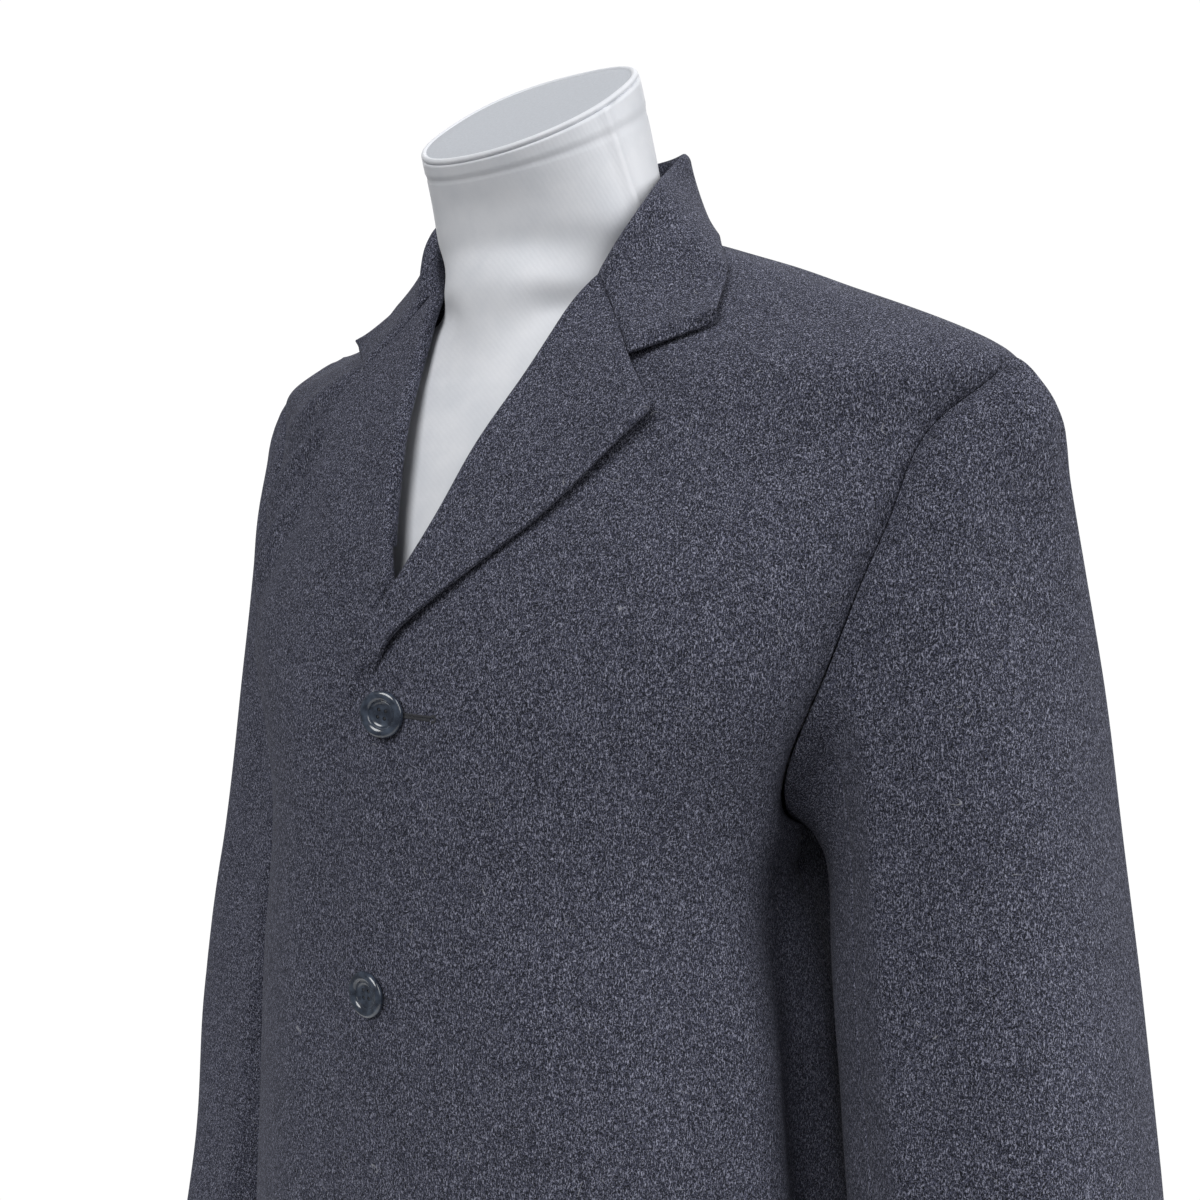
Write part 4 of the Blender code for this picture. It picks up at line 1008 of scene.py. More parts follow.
def collarLayers():
    along = denseShares(collarShape["halfRows"], collarShape["crowding"])
    paths, facings = collarPaths(along)
    stand, rolled, fallen = (collarShape[k] for k in ("standSteps", "rollSteps", "leafSteps"))
    # the front end follows the lapel's top as far as the notch
    corner = stand + rolled + fallen // 2
    steps = np.linalg.norm(np.diff(paths[0][:corner + 1], axis=0), axis=1)
    line, turned = gorgeProfile(np.concatenate([[0], np.cumsum(steps)]) / steps.sum())
    beyond = np.linspace(0, 1, fallen - fallen // 2 + 1)[1:, None]
    line = np.concatenate([line, line[-1] + (paths[0, -1] - line[-1]) * beyond])
    turned = np.concatenate([turned, np.repeat(turned[-1:], len(beyond), 0)])
    fade = (np.maximum(0, 1 - along / collarShape["frontReach"]) ** 2)[:, None, None]
    paths = paths + (line - paths[0]) * fade
    facings = unit(facings + (turned - facings[0]) * fade)
    # the leaf lies clear of the coat and stands off at its corner
    leaf = slice(stand + rolled + 1, None)
    out = np.linspace(0, 1, fallen)[None] ** 2
    atCorner = np.exp(-(along / collarShape["cornerAlong"]) ** 2)[:, None]
    lift = collarShape["leafLift"] * out + collarShape["cornerLift"] * atCorner * out ** 1.5
    lift = lift * easeStep(along / collarShape["liftAlong"])[:, None]
    cleared = pushOut(paths[:, leaf], cloth["thickness"] / 2 + cloth["restGap"])
    paths[:, leaf] += (cleared - paths[:, leaf]) * easeStep(along / collarShape["clearAlong"])[:, None, None]
    paths[:, leaf] += facings[:, leaf] * lift[..., None]
    reach = collarShape["cornerRound"]
    front, side = paths[0, -2] - paths[0, -1], paths[1, -1] - paths[0, -1]
    nearFront = np.maximum(1 - np.linalg.norm(paths - paths[:1], axis=-1) / reach, 0)
    nearSide = np.maximum(1 - np.linalg.norm(paths - paths[:, -1:], axis=-1) / reach, 0)
    draw = collarShape["cornerDraw"] * reach * nearFront ** 2 * nearSide ** 2
    paths = paths + unit(unit(front) + unit(side)) * draw[..., None]
    outer = paths + facings * cloth["thickness"] / 2
    inner = paths - facings * cloth["thickness"] / 2
    return [np.concatenate([layer, mirrored(layer[-2::-1])]) for layer in (outer, inner)]


def collarRounding(rows, columns):
    rounding = np.ones((rows, columns))
    sewn = collarShape["standSteps"] + collarShape["rollSteps"] + collarShape["leafSteps"] // 2
    rounding[0, :sewn] = rounding[-1, :sewn] = cloth["sewnRim"]
    return rounding


outerCollar, innerCollar = collarLayers()
collar = clothWall("coatCollar", outerCollar, innerCollar, wool,
                   rounding=collarRounding(*outerCollar.shape[:2]))
print("collar made")


# Sleeves: a padded head that rolls over from the armhole, then rings down to the cuff

sleeve = {
    # height, centreX, centreY, halfWidth, halfDepth
    "rows": (
        (0.790, 0.298, 0.004, 0.054, 0.063),
        (0.880, 0.2845, 0.021, 0.069, 0.069),
        (0.980, 0.2730, 0.032, 0.0785, 0.075),
        (1.080, 0.2575, 0.040, 0.0775, 0.078),
        (1.160, 0.2470, 0.045, 0.0740, 0.080),
    ),
    "slant": 0.155,         # a ring rises this much toward the outside
    "power": 2.5,
    "frontSeam": 4 / 13,
    "backSeam": 5 / 13,
    "halfColumns": 62,
    "headRows": 46,
    "armRows": 92,
    "fine": 400,            # points along the armhole before it is shared out
    "seamColumns": (-0.012, -0.007, -0.0035, 0, 0.0035, 0.007, 0.012),
    "seamRoom": 0.013,
    "seamDip": 0.0011,
    "seamWidth": 0.0014,
    "tuck": 0.0008,         # the sleeve's edge goes this far under the armhole's
    "sinkShare": 0.9,
    "leave": (1.0, 0.0, -0.15),         # the way it leaves the armhole
    "leaveOut": (0.5, -0.25),           # and how far outward: at the underarm, and added at the top
    "headReach": (0.020, 0.013),        # how far its curve keeps that way, given likewise
    "armReach": (0.020, 0.122),         # and how far the arm's way reaches up into the head
    "headCrowding": 1.25,
    "headRidge": 0.0014,    # the padded head stands this much above the seam
    "headClimb": 0.0045,
    "climbHeight": 1.235,   # only from here up
    "climbRun": 0.10,
    "climbFade": 0.050,
    "headCorner": 0.0038,   # the wadding's firm outer corner
    "cornerAround": (0.47, 0.11),       # its middle and width round the sleeve, and down it
    "cornerDown": (0.034, 0.016),
    "frontCrease": 0.215,   # around, where the front of the sleeve turns in to the body
    "creaseHollow": 0.012,
    "creaseShape": (1.4, 1.2),          # the hollow's lean toward the crease and its sharpness
    "creaseRidge": 0.0022,
    "ridgeAround": (0.010, 0.018),      # how far past the crease its ridge is, and its width
    "creaseDown": (0.015, 0.12),        # begins here down the sleeve, over this run
    "bodySwell": 0.0045,    # the under side hangs out against the body
    "swellAround": 0.075,
    "swellDown": (0.04, 0.14),
    "swellEase": (0.7, 0.38, 0.15),     # it loses this share, from here down, over this run
    "uneven": 0.0007,
    "unevenSize": 0.13,
    "unevenSeed": 8,
    "unevenRun": 0.1,
}
# Soft folds of a sleeve: side, around1, down1, around2, down2, width, rise; around runs
# 0 underarm, 0.25 front, 0.5 outer side, 0.75 back, and down runs 0 head to 1 cuff
sleeveFolds = (
    ("left", 0.34, 0.46, 0.42, 0.78, 0.016, 0.0016),
    ("left", 0.62, 0.40, 0.70, 0.72, 0.018, -0.0020),
    ("left", 0.80, 0.30, 0.72, 0.60, 0.016, 0.0026),
    ("left", 0.14, 0.62, 0.30, 0.74, 0.012, -0.0016),
    ("left", 0.86, 0.66, 0.66, 0.76, 0.014, -0.0022),
    ("left", 0.88, 0.72, 0.68, 0.84, 0.014, 0.0020),
    ("right", 0.30, 0.36, 0.40, 0.62, 0.016, 0.0014),
    ("right", 0.60, 0.44, 0.68, 0.76, 0.018, -0.0018),
    ("right", 0.82, 0.32, 0.74, 0.58, 0.016, 0.0024),
    ("right", 0.12, 0.64, 0.28, 0.72, 0.012, -0.0014),
    ("right", 0.88, 0.68, 0.68, 0.78, 0.014, -0.0020),
    ("right", 0.86, 0.76, 0.70, 0.88, 0.014, 0.0018),
)
sleeveRow = smoothCurve(sleeve["rows"])


def sleeveRing(height, angle):
    row = sleeveRow(height)
    point = sectionPoint(angle, height, row[..., 2], row[..., 1], row[..., 3], row[..., 3], sleeve["power"])
    across = point[..., 0].copy()
    point[..., 0] = across + row[..., 0]
    point[..., 2] += sleeve["slant"] * across
    return point


def sharesRound(seam):
    # even shares with a few extra close to a seam
    even = np.linspace(0, 1, sleeve["halfColumns"] + 1)
    even = even[np.abs(even - seam) > sleeve["seamRoom"]]
    return np.sort(np.concatenate([even, seam + np.array(sleeve["seamColumns"])]))


def sleeveGrid():
    fine = sleeve["fine"]
    even = np.linspace(0, 1, fine + 1)
    frontShare, backShare = sharesRound(sleeve["frontSeam"]), sharesRound(sleeve["backSeam"])[::-1]
    halves = []
    for back, share in ((False, frontShare), (True, backShare[1:-1])):
        edge = sideEdge(back, 10, fine)[10:]
        halves.append(np.stack([np.interp(share, even, edge[:, i]) for i in (0, 1)], -1))
    where = np.concatenate(halves)
    around = np.concatenate([math.pi * (1 + frontShare), math.pi * (1 - backShare[1:-1])])
    start = bodyPoint(where[:, 0], where[:, 1])
    normal = bodyNormal(where[:, 0], where[:, 1])
    rise = ((where[:, 1] - underarm) / (shoulderTip - underarm))[:, None]
    leave = unit(np.array(sleeve["leave"]) + normal * (sleeve["leaveOut"][0] + sleeve["leaveOut"][1] * rise))
    top = sleeve["rows"][-1][0]
    ring = sleeveRing(np.full(len(around), top), around)
    down = unit(sleeveRing(np.full(len(around), top - 0.02), around) - ring)
    sunk = armholeDepth(start) * sleeve["sinkShare"]
    start = start - leave * sleeve["tuck"] - normal * sunk[:, None]
    first = start + leave * (sleeve["headReach"][0] + sleeve["headReach"][1] * rise ** 2)
    second = ring - down * (sleeve["armReach"][0] + sleeve["armReach"][1] * rise)
    rows = []
    for t in np.linspace(0, 1, sleeve["headRows"] + 1) ** sleeve["headCrowding"]:
        rows.append((1 - t) ** 3 * start + 3 * t * (1 - t) ** 2 * first
                    + 3 * t ** 2 * (1 - t) * second + t ** 3 * ring)
    for height in np.linspace(top, sleeve["rows"][0][0], sleeve["armRows"] + 1)[1:]:
        rows.append(sleeveRing(np.full(len(around), height), around))
    grid = np.array(rows)
    # the padded head climbs steeply out of the seam's hollow
    fromSeam = np.linalg.norm(grid - grid[:1], axis=-1)
    upper = easeStep((where[:, 1] - sleeve["climbHeight"]) / sleeve["climbRun"])
    height = panel["armholeDip"] * sleeve["sinkShare"] + sleeve["headRidge"]
    climb = (height * upper)[None] * easeStep(fromSeam / sleeve["headClimb"])
    grid = grid + normal[None] * (climb * np.exp(-(fromSeam / sleeve["climbFade"]) ** 2))[..., None]
    return grid, np.concatenate([frontShare, 2 - backShare[1:-1]]) / 2


def sleeveFoldPaths(grid, around, side):
    paths = []
    for which, a1, d1, a2, d2, width, rise in sleeveFolds:
        if which == ("left" if side > 0 else "right"):
            columns = [int(np.argmin(np.abs(around - a))) for a in np.linspace(a1, a2, 10)]
            levels = [int(round(d * (len(grid) - 1))) for d in np.linspace(d1, d2, 10)]
            paths.append((grid[levels, columns], width, rise))
    return paths


def sleeveForm(grid, around):
    # rise of the sunk seams, the head's corner, the front crease and the swell at the body
    down = np.linspace(0, 1, len(grid))
    rise = np.zeros(grid.shape[:2])
    for seam in (sleeve["frontSeam"] / 2, 1 - sleeve["backSeam"] / 2):
        column = int(np.argmin(np.abs(around - seam)))
        distance = np.linalg.norm(grid - grid[:, column:column + 1], axis=-1)
        rise -= sleeve["seamDip"] * np.exp(-(distance / sleeve["seamWidth"]) ** 2)
    fromSeam = np.linalg.norm(grid - grid[:1], axis=-1)
    (middle, width), (depth, run) = sleeve["cornerAround"], sleeve["cornerDown"]
    high = np.exp(-((around - middle) / width) ** 2)
    rise += sleeve["headCorner"] * high * np.exp(-((fromSeam - depth) / run) ** 2)
    crease, (lean, power) = sleeve["frontCrease"], sleeve["creaseShape"]
    turned = np.clip(around / crease, 0, 1)
    hollow = np.where(around < crease, np.sin(math.pi * turned ** lean) ** power, 0)
    beyond, width = sleeve["ridgeAround"]
    ridge = sleeve["creaseRidge"] * np.exp(-((around - crease - beyond) / width) ** 2)
    begin, run = sleeve["creaseDown"]
    rise += (ridge - sleeve["creaseHollow"] * hollow) * easeStep((down - begin) / run)[:, None]
    begin, run = sleeve["swellDown"]
    nearBody = np.exp(-(np.minimum(around, 1 - around) / sleeve["swellAround"]) ** 2)
    loss, lossBegin, lossRun = sleeve["swellEase"]
    swell = easeStep((down - begin) / run) * (1 - loss * easeStep((down - lossBegin) / lossRun))
    return rise + sleeve["bodySwell"] * nearBody * swell[:, None]


def sleeveWall(name, side):
    grid, around = sleeveGrid()
    wrapped = np.concatenate([grid[:, -1:], grid, grid[:, :1]], 1)
    normal = unit(np.cross(np.gradient(grid, axis=0), wrapped[:, 2:] - wrapped[:, :-2]))
    centre = grid.mean(axis=1, keepdims=True)
    if np.sum(normal[-1] * (grid[-1] - centre[-1])) < 0:
        normal = -normal
    if side < 0:
        grid, normal = mirrored(grid), mirrored(normal)
    uneven = softUneven(grid, sleeve["unevenSize"], sleeve["uneven"], sleeve["unevenSeed"] + side)
    uneven = uneven * easeStep(np.linspace(0, 1, len(grid)) / sleeve["unevenRun"])[:, None]
    rise = foldField(grid, sleeveFoldPaths(grid, around, side)) + uneven + sleeveForm(grid, around)
    surface = grid + normal * rise[..., None]
    return clothWall(name, surface, surface - normal * cloth["thickness"], wool, around=True)


sleeveLeft = sleeveWall("coatSleeveLeft", side=1)
sleeveRight = sleeveWall("coatSleeveRight", side=-1)
print("sleeves made")


# Buttons: turned discs with a thick rim, a sharp step and a dished floor with four holes

button = {
    "radius": 0.0125,
    "thickness": 0.0042,
    "x": 0.0045,
    "lean": -0.0067,
    "top": 1.258,
    "spacing": 0.150,
    "tilts": (18, 0, 0),
    "tiltShift": 0.78,      # a tilted button comes forward by this share of its radius
    "seatGap": 0.0003,
    "holeTurns": (35, 50, 20),
    # share of the radius, share of the thickness
    "profile": (
        (0.00, 0.00), (0.70, 0.00), (0.90, 0.10), (0.975, 0.28), (1.00, 0.50), (0.985, 0.72),
        (0.94, 0.90), (0.86, 0.995), (0.76, 1.00), (0.68, 0.93), (0.615, 0.80), (0.585, 0.66),
        (0.575, 0.58), (0.555, 0.565), (0.53, 0.60), (0.505, 0.585), (0.48, 0.52), (0.36, 0.49),
        (0.00, 0.48),
    ),
    "holeRadius": 0.00105,
    "holeRing": 0.0028,
    "drillDepth": 0.020,
    "shankRadius": 0.0026,
    "shankLength": 0.0030,
    "shankHeight": -0.0002,
    "threadShare": 0.9,     # the thread fills this share of a hole
    "threadHeight": 0.0010,
}


def selectOnly(item):
    bpy.ops.object.select_all(action="DESELECT")
    item.select_set(True)
    bpy.context.view_layer.objects.active = item


def joined(parts):
    selectOnly(parts[0])
    for part in parts[1:]:
        part.select_set(True)
    bpy.ops.object.join()
    return bpy.context.object


def holeSpots(number, height):
    turns = [math.radians(button["holeTurns"][number] + 90 * quarter) for quarter in range(4)]
    return [(button["holeRing"] * math.cos(t), button["holeRing"] * math.sin(t), height) for t in turns]


def buttonCentre(number):
    return button["x"] + button["lean"] * number, button["top"] - button["spacing"] * number


def buttonPlace(number):
    x, height = buttonCentre(number)
    tilt = math.radians(button["tilts"][number])
    angle = angleFromX(x, height)
    place = bodyPoint(angle, height) + bodyNormal(angle, height) * button["seatGap"]
    place[1] -= button["tiltShift"] * button["radius"] * math.sin(tilt)
    turn = Matrix.Rotation(tilt, 4, "Z") @ Matrix.Rotation(math.pi / 2, 4, "X")
    return Matrix.Translation(Vector(place)) @ turn


def turnedButton(name, number):
    mesh = bpy.data.meshes.new(name)
    line = [(r * button["radius"], 0, t * button["thickness"]) for r, t in button["profile"]]
    mesh.from_pydata(line, [(i, i + 1) for i in range(len(line) - 1)], [])
    item = addObject(name, mesh)
    selectOnly(item)
    bpy.ops.object.mode_set(mode="EDIT")
    bpy.ops.mesh.select_all(action="SELECT")
    bpy.ops.mesh.spin(steps=72, angle=2 * math.pi, center=(0, 0, 0), axis=(0, 0, 1))
    bpy.ops.mesh.select_all(action="SELECT")
    bpy.ops.mesh.remove_doubles(threshold=0.00001)
    bpy.ops.mesh.normals_make_consistent(inside=False)
    bpy.ops.object.mode_set(mode="OBJECT")
    drills = []
    for spot in holeSpots(number, 0):
        bpy.ops.mesh.primitive_cylinder_add(
            vertices=20, radius=button["holeRadius"], depth=button["drillDepth"], location=spot)
        drills.append(bpy.context.object)
    drill = joined(drills)
    selectOnly(item)
    cut = item.modifiers.new("holes", "BOOLEAN")
    cut.operation, cut.solver, cut.object = "DIFFERENCE", "EXACT", drill
    bpy.ops.object.modifier_apply(modifier=cut.name)
    bpy.data.objects.remove(drill)
    item.data.transform(buttonPlace(number))
    item.data.materials.append(polyester)
    selectOnly(item)
    bpy.ops.object.shade_smooth_by_angle(angle=math.radians(38))
    return item


def buttonShank(name, number):
    # thread wound under the button and drawn through its holes
    bpy.ops.object.select_all(action="DESELECT")
    bpy.ops.mesh.primitive_cylinder_add(
        vertices=20, radius=button["shankRadius"], depth=button["shankLength"],
        location=(0, 0, button["shankHeight"]))
    parts = [bpy.context.object]
    for spot in holeSpots(number, button["threadHeight"]):
        bpy.ops.mesh.primitive_uv_sphere_add(
            segments=12, ring_count=8, radius=button["holeRadius"] * button["threadShare"], location=spot)
        parts.append(bpy.context.object)
    item = joined(parts)
    item.name = name
    bpy.ops.object.transform_apply(location=True, rotation=True, scale=True)
    item.data.transform(buttonPlace(number))
    item.data.materials.append(thread)
    bpy.ops.object.shade_smooth_by_angle(angle=math.radians(50))
    return item


buttons = [turnedButton(f"coatButton{n + 1}", n) for n in range(3)]
shanks = [buttonShank(f"buttonShank{n + 1}", n) for n in range(3)]
print("buttons made")


# Buttonholes: a cut slit whose lips are bound with close small stitches, ending in an eyelet

buttonhole = {
    "ends": (0.0315, 0.0245, 0.0245),   # how far each reaches from its button's middle
    "startX": 0.004,
    "lip": 0.00075,
    "stitchGap": 0.00062,
    "stitchRadius": 0.00036,
    "stitchLength": 0.00085,
    "stitchLift": 0.0002,
    "eyelet": 0.0015,
    "eyeletTurn": 140,      # degrees to each side that the eyelet's stitches reach
}


def holeOutline(length):
    # points and outward directions round a slit with a round eyelet at its far end
    lip, eye = buttonhole["lip"], buttonhole["eyelet"]
    points, outs = [], []
    straight = np.arange(0, length - eye, buttonhole["stitchGap"])
    first, last = buttonhole["eyeletTurn"], -buttonhole["eyeletTurn"] - 1
    for sign in (1, -1):
        for u in straight[::sign]:
            points.append((u, sign * lip))
            outs.append((0, sign))
        if sign > 0:
            for turn in np.arange(math.radians(first), math.radians(last), -buttonhole["stitchGap"] / eye):
                points.append((length + eye * math.cos(turn), eye * math.sin(turn)))
                outs.append((math.cos(turn), math.sin(turn)))
    return points, outs


def frontFrame(x, height):
    angle = angleFromX(x, height)
    place, normal = bodyPoint(angle, height), bodyNormal(angle, height)
    right = unit(np.cross(np.array([0.0, 0.0, 1.0]), normal))
    return place, right, np.cross(normal, right), normal


def workedHole(name, number):
    x, height = buttonCentre(number)
    x += buttonhole["startX"]
    points, outs = holeOutline(buttonhole["ends"][number] - buttonhole["startX"])
    length, radius = buttonhole["stitchLength"], buttonhole["stitchRadius"]
    shape = bmesh.new()
    for (u, v), (du, dv) in zip(points, outs):
        place, right, up, normal = frontFrame(x + u, height + v)
        across = right * du + up * dv
        axes = np.stack([across * length, np.cross(normal, across) * radius, normal * radius], 1)
        middle = Matrix.Translation(Vector(place + normal * buttonhole["stitchLift"]))
        bmesh.ops.create_icosphere(shape, subdivisions=1, radius=1.0,
                                   matrix=middle @ Matrix(axes.tolist()).to_4x4())
    mesh = bpy.data.meshes.new(name)
    shape.to_mesh(mesh)
    shape.free()
    mesh.shade_smooth()
    mesh.materials.append(thread)
    return addObject(name, mesh)


holes = [workedHole(f"coatButtonhole{n + 1}", n) for n in range(3)]
print("buttonholes made")


# Dress form: a covered torso and neck, a slanted cap and the cover's gathered rim

form = {
    # height, halfWidth, centreY, frontDepth, backDepth, tilt
    "rows": (
        (0.800, 0.112, -0.028, 0.082, 0.086, 0),
        (0.812, 0.128, -0.028, 0.094, 0.098, 0),
        (0.850, 0.146, -0.026, 0.108, 0.110, 0),
        (0.930, 0.157, -0.026, 0.116, 0.118, 0),
        (1.040, 0.142, -0.036, 0.106, 0.112, 0),
        (1.170, 0.144, -0.038, 0.104, 0.110, 0),
        (1.270, 0.168, -0.012, 0.118, 0.112, 0),
        (1.350, 0.182, 0.002, 0.109, 0.112, 0),
        (1.410, 0.188, 0.010, 0.098, 0.104, 0),
        (1.445, 0.172, 0.015, 0.090, 0.096, 0),
        (1.470, 0.094, 0.017, 0.086, 0.088, 0),
        (1.488, 0.0755, 0.016, 0.086, 0.078, 0),
        (1.500, 0.0730, 0.009, 0.077, 0.062, 0),
        (1.508, 0.0738, 0.003, 0.0695, 0.052, 0),
        (1.518, 0.0745, -0.004, 0.0640, 0.050, 0.02),
        (1.532, 0.0725, -0.012, 0.0590, 0.048, 0.10),
        (1.556, 0.0690, -0.022, 0.054, 0.049, 0.36),
        (1.585, 0.0650, -0.034, 0.050, 0.050, 0.68),
    ),
    "sides": 128,
    "frontPower": 2.1,
    "backPower": 2.5,
    "clearance": 0.0020,
    "openingRun": (0.022, 0.012),   # it is drawn in from this far inside the roll line, over this run
    "drawnTop": (1.482, 0.010),     # and not at all above this height
    "spread": 2,
    "levels": ((0.800, 0.850, 14), (0.860, 1.430, 70), (1.435, 1.585, 76)),
    "bandDrop": 0.013,      # the cover's hem lies this far under the rim
    "foldedCover": 0.0005,
    "hemStep": 0.0020,
    "hemGroove": 0.0016,
    "pleat": (0.0016, 0.045),       # rise and width, in radians round the neck
    "pleatHollow": (0.0008, 0.060),
    "hollowBeside": 0.13,
    "pleatAngle": math.radians(-12),
    "pleatHeight": (1.515, 0.020),
    # share of the neck's radius and lift of each of the cap's rings
    "cap": ((0.93, 0.0003), (0.955, 0.0006), (0.962, 0.0016), (0.955, 0.0024), (0.93, 0.0027),
            (0.80, 0.0029), (0.5, 0.0031), (0.2, 0.0032)),
    "rimShare": 0.972,
    "rimRadius": 0.0019,
    "rimLift": 0.0016,
    "rimFlat": 0.9,
    "rimSteps": 12,
}
formRow = smoothCurve(form["rows"])
formAngles = np.linspace(0, 2 * math.pi, form["sides"], endpoint=False)


def formRings(heights):
    # rings of the form, drawn in where the coat is round it
    inset = cloth["thickness"] + form["clearance"]
    inside, openingRun = form["openingRun"]
    drawnTop, topRun = form["drawnTop"]
    table = np.array(bodyShape["roll"])
    rings, shrinks = [], []
    for height in heights:
        halfWidth, centreY, front, back, tilt = formRow(height)
        ring = sectionPoint(formAngles, np.full(form["sides"], height), halfWidth, centreY,
                            front, back, form["frontPower"], form["backPower"])
        ring[:, 2] += tilt * (ring[:, 1] - centreY)
        above = ring + np.array([0, 0, inset])
        middle = np.array([0, bodyRow(above[0, 2])[1], height])
        away = np.linalg.norm(ring - middle, axis=1)
        limit = (1 - inset / np.maximum(away, inset)) / bodyFraction(above)
        opening = np.interp(height, table[:, 2], table[:, 1])
        beside = easeStep((np.abs(ring[:, 0]) - opening + inside) / openingRun)
        covered = np.where(ring[:, 1] < centreY, beside, 1) * easeStep((drawnTop - height) / topRun)
        rings.append(ring)
        shrinks.append(1 - (1 - np.minimum(limit, 1)) * covered)
    rings, shrinks = np.array(rings), np.array(shrinks)
    # each point takes the least of its neighbours, then their mean twice
    spread = form["spread"]
    for axis in (0, 1):
        pad = [(spread, spread) if i == axis else (0, 0) for i in (0, 1)]
        size = shrinks.shape[axis]
        for work in (np.min, np.mean, np.mean):
            padded = np.pad(shrinks, pad, "wrap" if axis else "edge")
            shifts = [np.take(padded, range(k, k + size), axis) for k in range(2 * spread + 1)]
            shrinks = work(shifts, axis=0)
    centreY = bodyRow(np.minimum(heights + inset, bodyShape["rows"][-1][0]))[:, 1]
    middle = np.stack([np.zeros(len(rings)), centreY, np.asarray(heights)], -1)[:, None]
    return middle + (rings - middle) * shrinks[..., None]


def closedRings(name, rings, material):
    # surface through rings, closed by a fan at both ends
    rings = np.array(rings)
    rows, columns = rings.shape[:2]
    index = np.arange(rows * columns).reshape(rows, columns)
    faces = quadsOf(np.pad(index, ((0, 0), (0, 1)), "wrap")).tolist()
    points = np.concatenate([rings.reshape(-1, 3), rings[0].mean(0)[None], rings[-1].mean(0)[None]])
    for row, centre in ((index[0], rows * columns), (index[-1], rows * columns + 1)):
        faces += [(row[j], row[(j + 1) % columns], centre) for j in range(columns)]
    return meshObject(name, points, faces, material)


def formTorso():
    topHeight = form["rows"][-1][0]
    heights = np.concatenate([np.linspace(*level) for level in form["levels"]])
    fromPleat = (formAngles + math.pi) % (2 * math.pi) - math.pi - form["pleatAngle"]
    (rise, width), (depth, reach) = form["pleat"], form["pleatHollow"]
    pleat = rise * np.exp(-(fromPleat / width) ** 2)
    pleat -= depth * np.exp(-((fromPleat - form["hollowBeside"]) / reach) ** 2)
    pleatHeight, pleatRun = form["pleatHeight"]
    rings = []
    for height, ring in zip(heights, formRings(heights)):
        outward = unit((ring - ring.mean(0)) * np.array([1.0, 1.0, 0.0]))
        under = topHeight - height - form["bandDrop"]
        hem = easeStep(-under / form["hemStep"]) - math.exp(-(under / form["hemGroove"]) ** 2)
        gathered = pleat * easeStep((height - pleatHeight) / pleatRun)
        rings.append(ring + outward * (form["foldedCover"] * hem + gathered)[:, None])
    return closedRings("formTorso", rings, jersey)


def capFrame():
    rim = formRings(np.array([form["rows"][-1][0]]))[0]
    slope = form["rows"][-1][5]
    return rim, rim.mean(0), np.array([0, -slope, 1]) / math.hypot(1, slope)


def formCap():
    rim, middle, up = capFrame()
    rings = [middle + (rim - middle) * grow + up * lift for grow, lift in form["cap"]]
    return closedRings("formNeckCap", rings, capFelt)


def formRim():
    # the cover's edge, rolled over the neck and drawn in round the cap
    rim, middle, up = capFrame()
    outward = unit(rim - middle)
    radius, steps = form["rimRadius"], form["rimSteps"]
    loops = []
    for k in range(steps):
        turn = 2 * math.pi * k / steps
        loops.append(middle + (rim - middle) * form["rimShare"] + outward * radius * math.cos(turn)
                     + up * (form["rimLift"] + radius * form["rimFlat"] * math.sin(turn)))
    grid = np.array(loops)
    index = np.arange(steps * form["sides"]).reshape(steps, form["sides"])
    faces = quadsOf(np.pad(index, ((0, 1), (0, 1)), "wrap")).tolist()
    return meshObject("formRimRoll", grid.reshape(-1, 3), faces, jersey)


torso = formTorso()
neckCap = formCap()
rimRoll = formRim()
print("dress form made")


# Stand: the frame's pole and base, with a turned socket where the pole enters the base

# the socket's radius and height, the step in to its neck, the neck's height and the edges' bevel
stand = {"radius": 0.024, "height": 0.030, "shoulder": 0.006, "neck": 0.012, "edge": 0.0015}
for nodeName in ("stand_pole", "stand_base"):
    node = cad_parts[nodeName]
    node.data.materials.clear()
    node.data.materials.append(steel)


def poleSocket():
    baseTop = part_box("stand_base")[1].z
    bpy.ops.object.select_all(action="DESELECT")
    bpy.ops.mesh.primitive_cylinder_add(vertices=64, radius=stand["radius"], depth=stand["height"],
                                        end_fill_type="NGON",
                                        location=(0, 0, baseTop + stand["height"] / 2))
    item = bpy.context.object
    item.name = "standSocket"
    bpy.ops.object.transform_apply(location=True, rotation=True, scale=True)
    bpy.ops.object.mode_set(mode="EDIT")
    bpy.ops.mesh.select_all(action="DESELECT")
    shape = bmesh.from_edit_mesh(item.data)
    for face in shape.faces:
        face.select_set(face.normal.z > 0.9)
    bmesh.update_edit_mesh(item.data)
    bpy.ops.mesh.inset(thickness=stand["shoulder"])
    bpy.ops.transform.translate(value=(0, 0, stand["neck"]))
    bpy.ops.object.mode_set(mode="OBJECT")
    rounding = item.modifiers.new("rounding", "BEVEL")
    rounding.width, rounding.segments, rounding.limit_method = stand["edge"], 3, "ANGLE"
    bpy.ops.object.modifier_apply(modifier=rounding.name)
    item.data.materials.append(steel)
    bpy.ops.object.shade_smooth_by_angle(angle=math.radians(35))
    return item


socket = poleSocket()
print("stand made")


# Riding, what each piece stands for, and the cut of each sheet of cloth

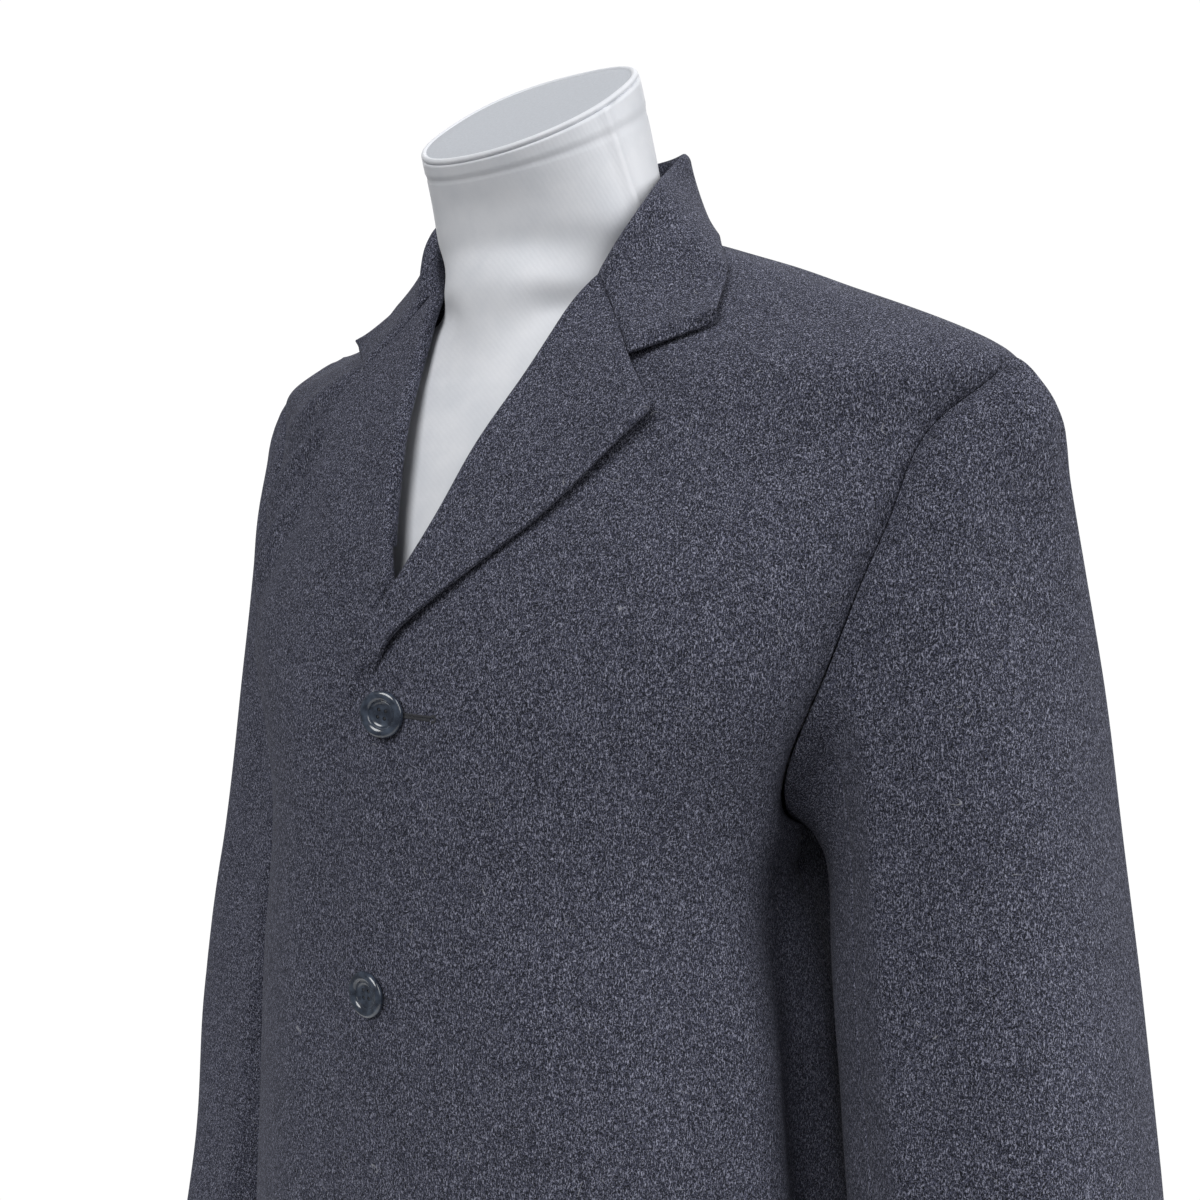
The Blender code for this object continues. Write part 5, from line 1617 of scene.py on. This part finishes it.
sheets = (
    # piece, nodes, flat width, flat length, area
    (frontLeft, ("front_left",), 0.44, 1.10, 0.365),
    (frontRight, ("front_right",), 0.44, 1.10, 0.362),
    (backLeft, ("back_left",), 0.28, 1.10, 0.266),
    (backRight, ("back_right",), 0.28, 1.10, 0.265),
    (lapelLeft, ("lapel_left",), 0.12, 0.27, 0.0147),
    (lapelRight, ("lapel_right",), 0.11, 0.22, 0.0124),
    (collar, ("collar",), 0.115, 0.52, 0.0443),
    (sleeveLeft, ("sleeve_left_top", "sleeve_left_under"), 0.50, 0.66, 0.265),
    (sleeveRight, ("sleeve_right_top", "sleeve_right_under"), 0.50, 0.66, 0.265),
)
for piece, nodes, width, length, area in sheets:
    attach(piece, "root")
    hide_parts(*nodes)
for number, piece in enumerate(buttons):
    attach(piece, "root")
    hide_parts(f"button_{number + 1}")
for piece in shanks + holes:
    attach(piece, "root")
for piece, node, slotName in ((torso, "form_torso", "jersey"), (neckCap, "form_neck_cap", "cap")):
    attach(piece, "root")
    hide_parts(node)
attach(rimRoll, "root")
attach(socket, "root")
print("pieces ride on the frame")


# Floor, light and camera

studio = {
    "floorRadius": 1.6,
    "floorColour": "#d4d4d4",
    "world": 0.13,
    "backdrop": 1.02,
    # azimuth from the front towards the wearer's left, elevation, strength, softness
    "suns": ((4, 40, 2.25, 40), (108, 28, 2.5, 55), (218, 28, 1.0, 60)),
    "camera": (0.5196, -0.6275, 1.3789),
    "yaw": 38.01,
    "pitch": 5.0,
    "roll": 0.44,
    "lens": 40.38,
}
bpy.ops.object.select_all(action="DESELECT")
bpy.ops.mesh.primitive_circle_add(vertices=96, radius=studio["floorRadius"], fill_type="NGON",
                                  location=(0, 0, 0))
floor = bpy.context.object
floor.name = "studioFloor"
floor.data.materials.append(finished(newMaterial("mattPaperFloor")[0], {
    "Base Color": linearColour(studio["floorColour"]), "Roughness": 1.0, "Specular IOR Level": 0.0}))

world = bpy.data.worlds.new("paleStudio")
bpy.context.scene.world = world
world.use_nodes = True
worldTree = world.node_tree
worldTree.nodes.clear()
seen = addNode(worldTree, "ShaderNodeLightPath").outputs["Is Camera Ray"]
glow = addNode(worldTree, "ShaderNodeMapRange", inputs={
    "Value": seen, "To Min": studio["world"], "To Max": studio["backdrop"]})
sky = addNode(worldTree, "ShaderNodeBackground", inputs={
    "Color": (1.0, 1.0, 1.0, 1.0), "Strength": glow.outputs["Result"]})
addNode(worldTree, "ShaderNodeOutputWorld", inputs={"Surface": sky.outputs["Background"]})
bpy.context.scene.view_settings.view_transform = "Standard"

for number, (azimuth, elevation, strength, softness) in enumerate(studio["suns"]):
    lamp = bpy.data.lights.new(f"softSun{number + 1}", "SUN")
    lamp.energy = strength
    lamp.angle = math.radians(softness)
    a, e = math.radians(azimuth), math.radians(elevation)
    toward = Vector((math.sin(a) * math.cos(e), -math.cos(a) * math.cos(e), math.sin(e)))
    addObject(lamp.name, lamp).rotation_euler = toward.to_track_quat("Z", "Y").to_euler()

cameraData = bpy.data.cameras.new("photoCamera")
cameraData.sensor_width = 36.0
cameraData.lens = studio["lens"]
cameraData.clip_start, cameraData.clip_end = 0.05, 200.0
camera = addObject("photoCamera", cameraData)
yaw, pitch, roll = (math.radians(studio[k]) for k in ("yaw", "pitch", "roll"))
ahead = Vector((-math.sin(yaw) * math.cos(pitch), math.cos(yaw) * math.cos(pitch), -math.sin(pitch)))
level = Vector((math.cos(yaw), math.sin(yaw), 0))
above = level.cross(ahead)
right = level * math.cos(roll) + above * math.sin(roll)
upward = above * math.cos(roll) - level * math.sin(roll)
turn = Matrix((right, upward, -ahead)).transposed()
camera.matrix_world = Matrix.Translation(Vector(studio["camera"])) @ turn.to_4x4()
bpy.context.scene.camera = camera
print("floor, light and camera set")
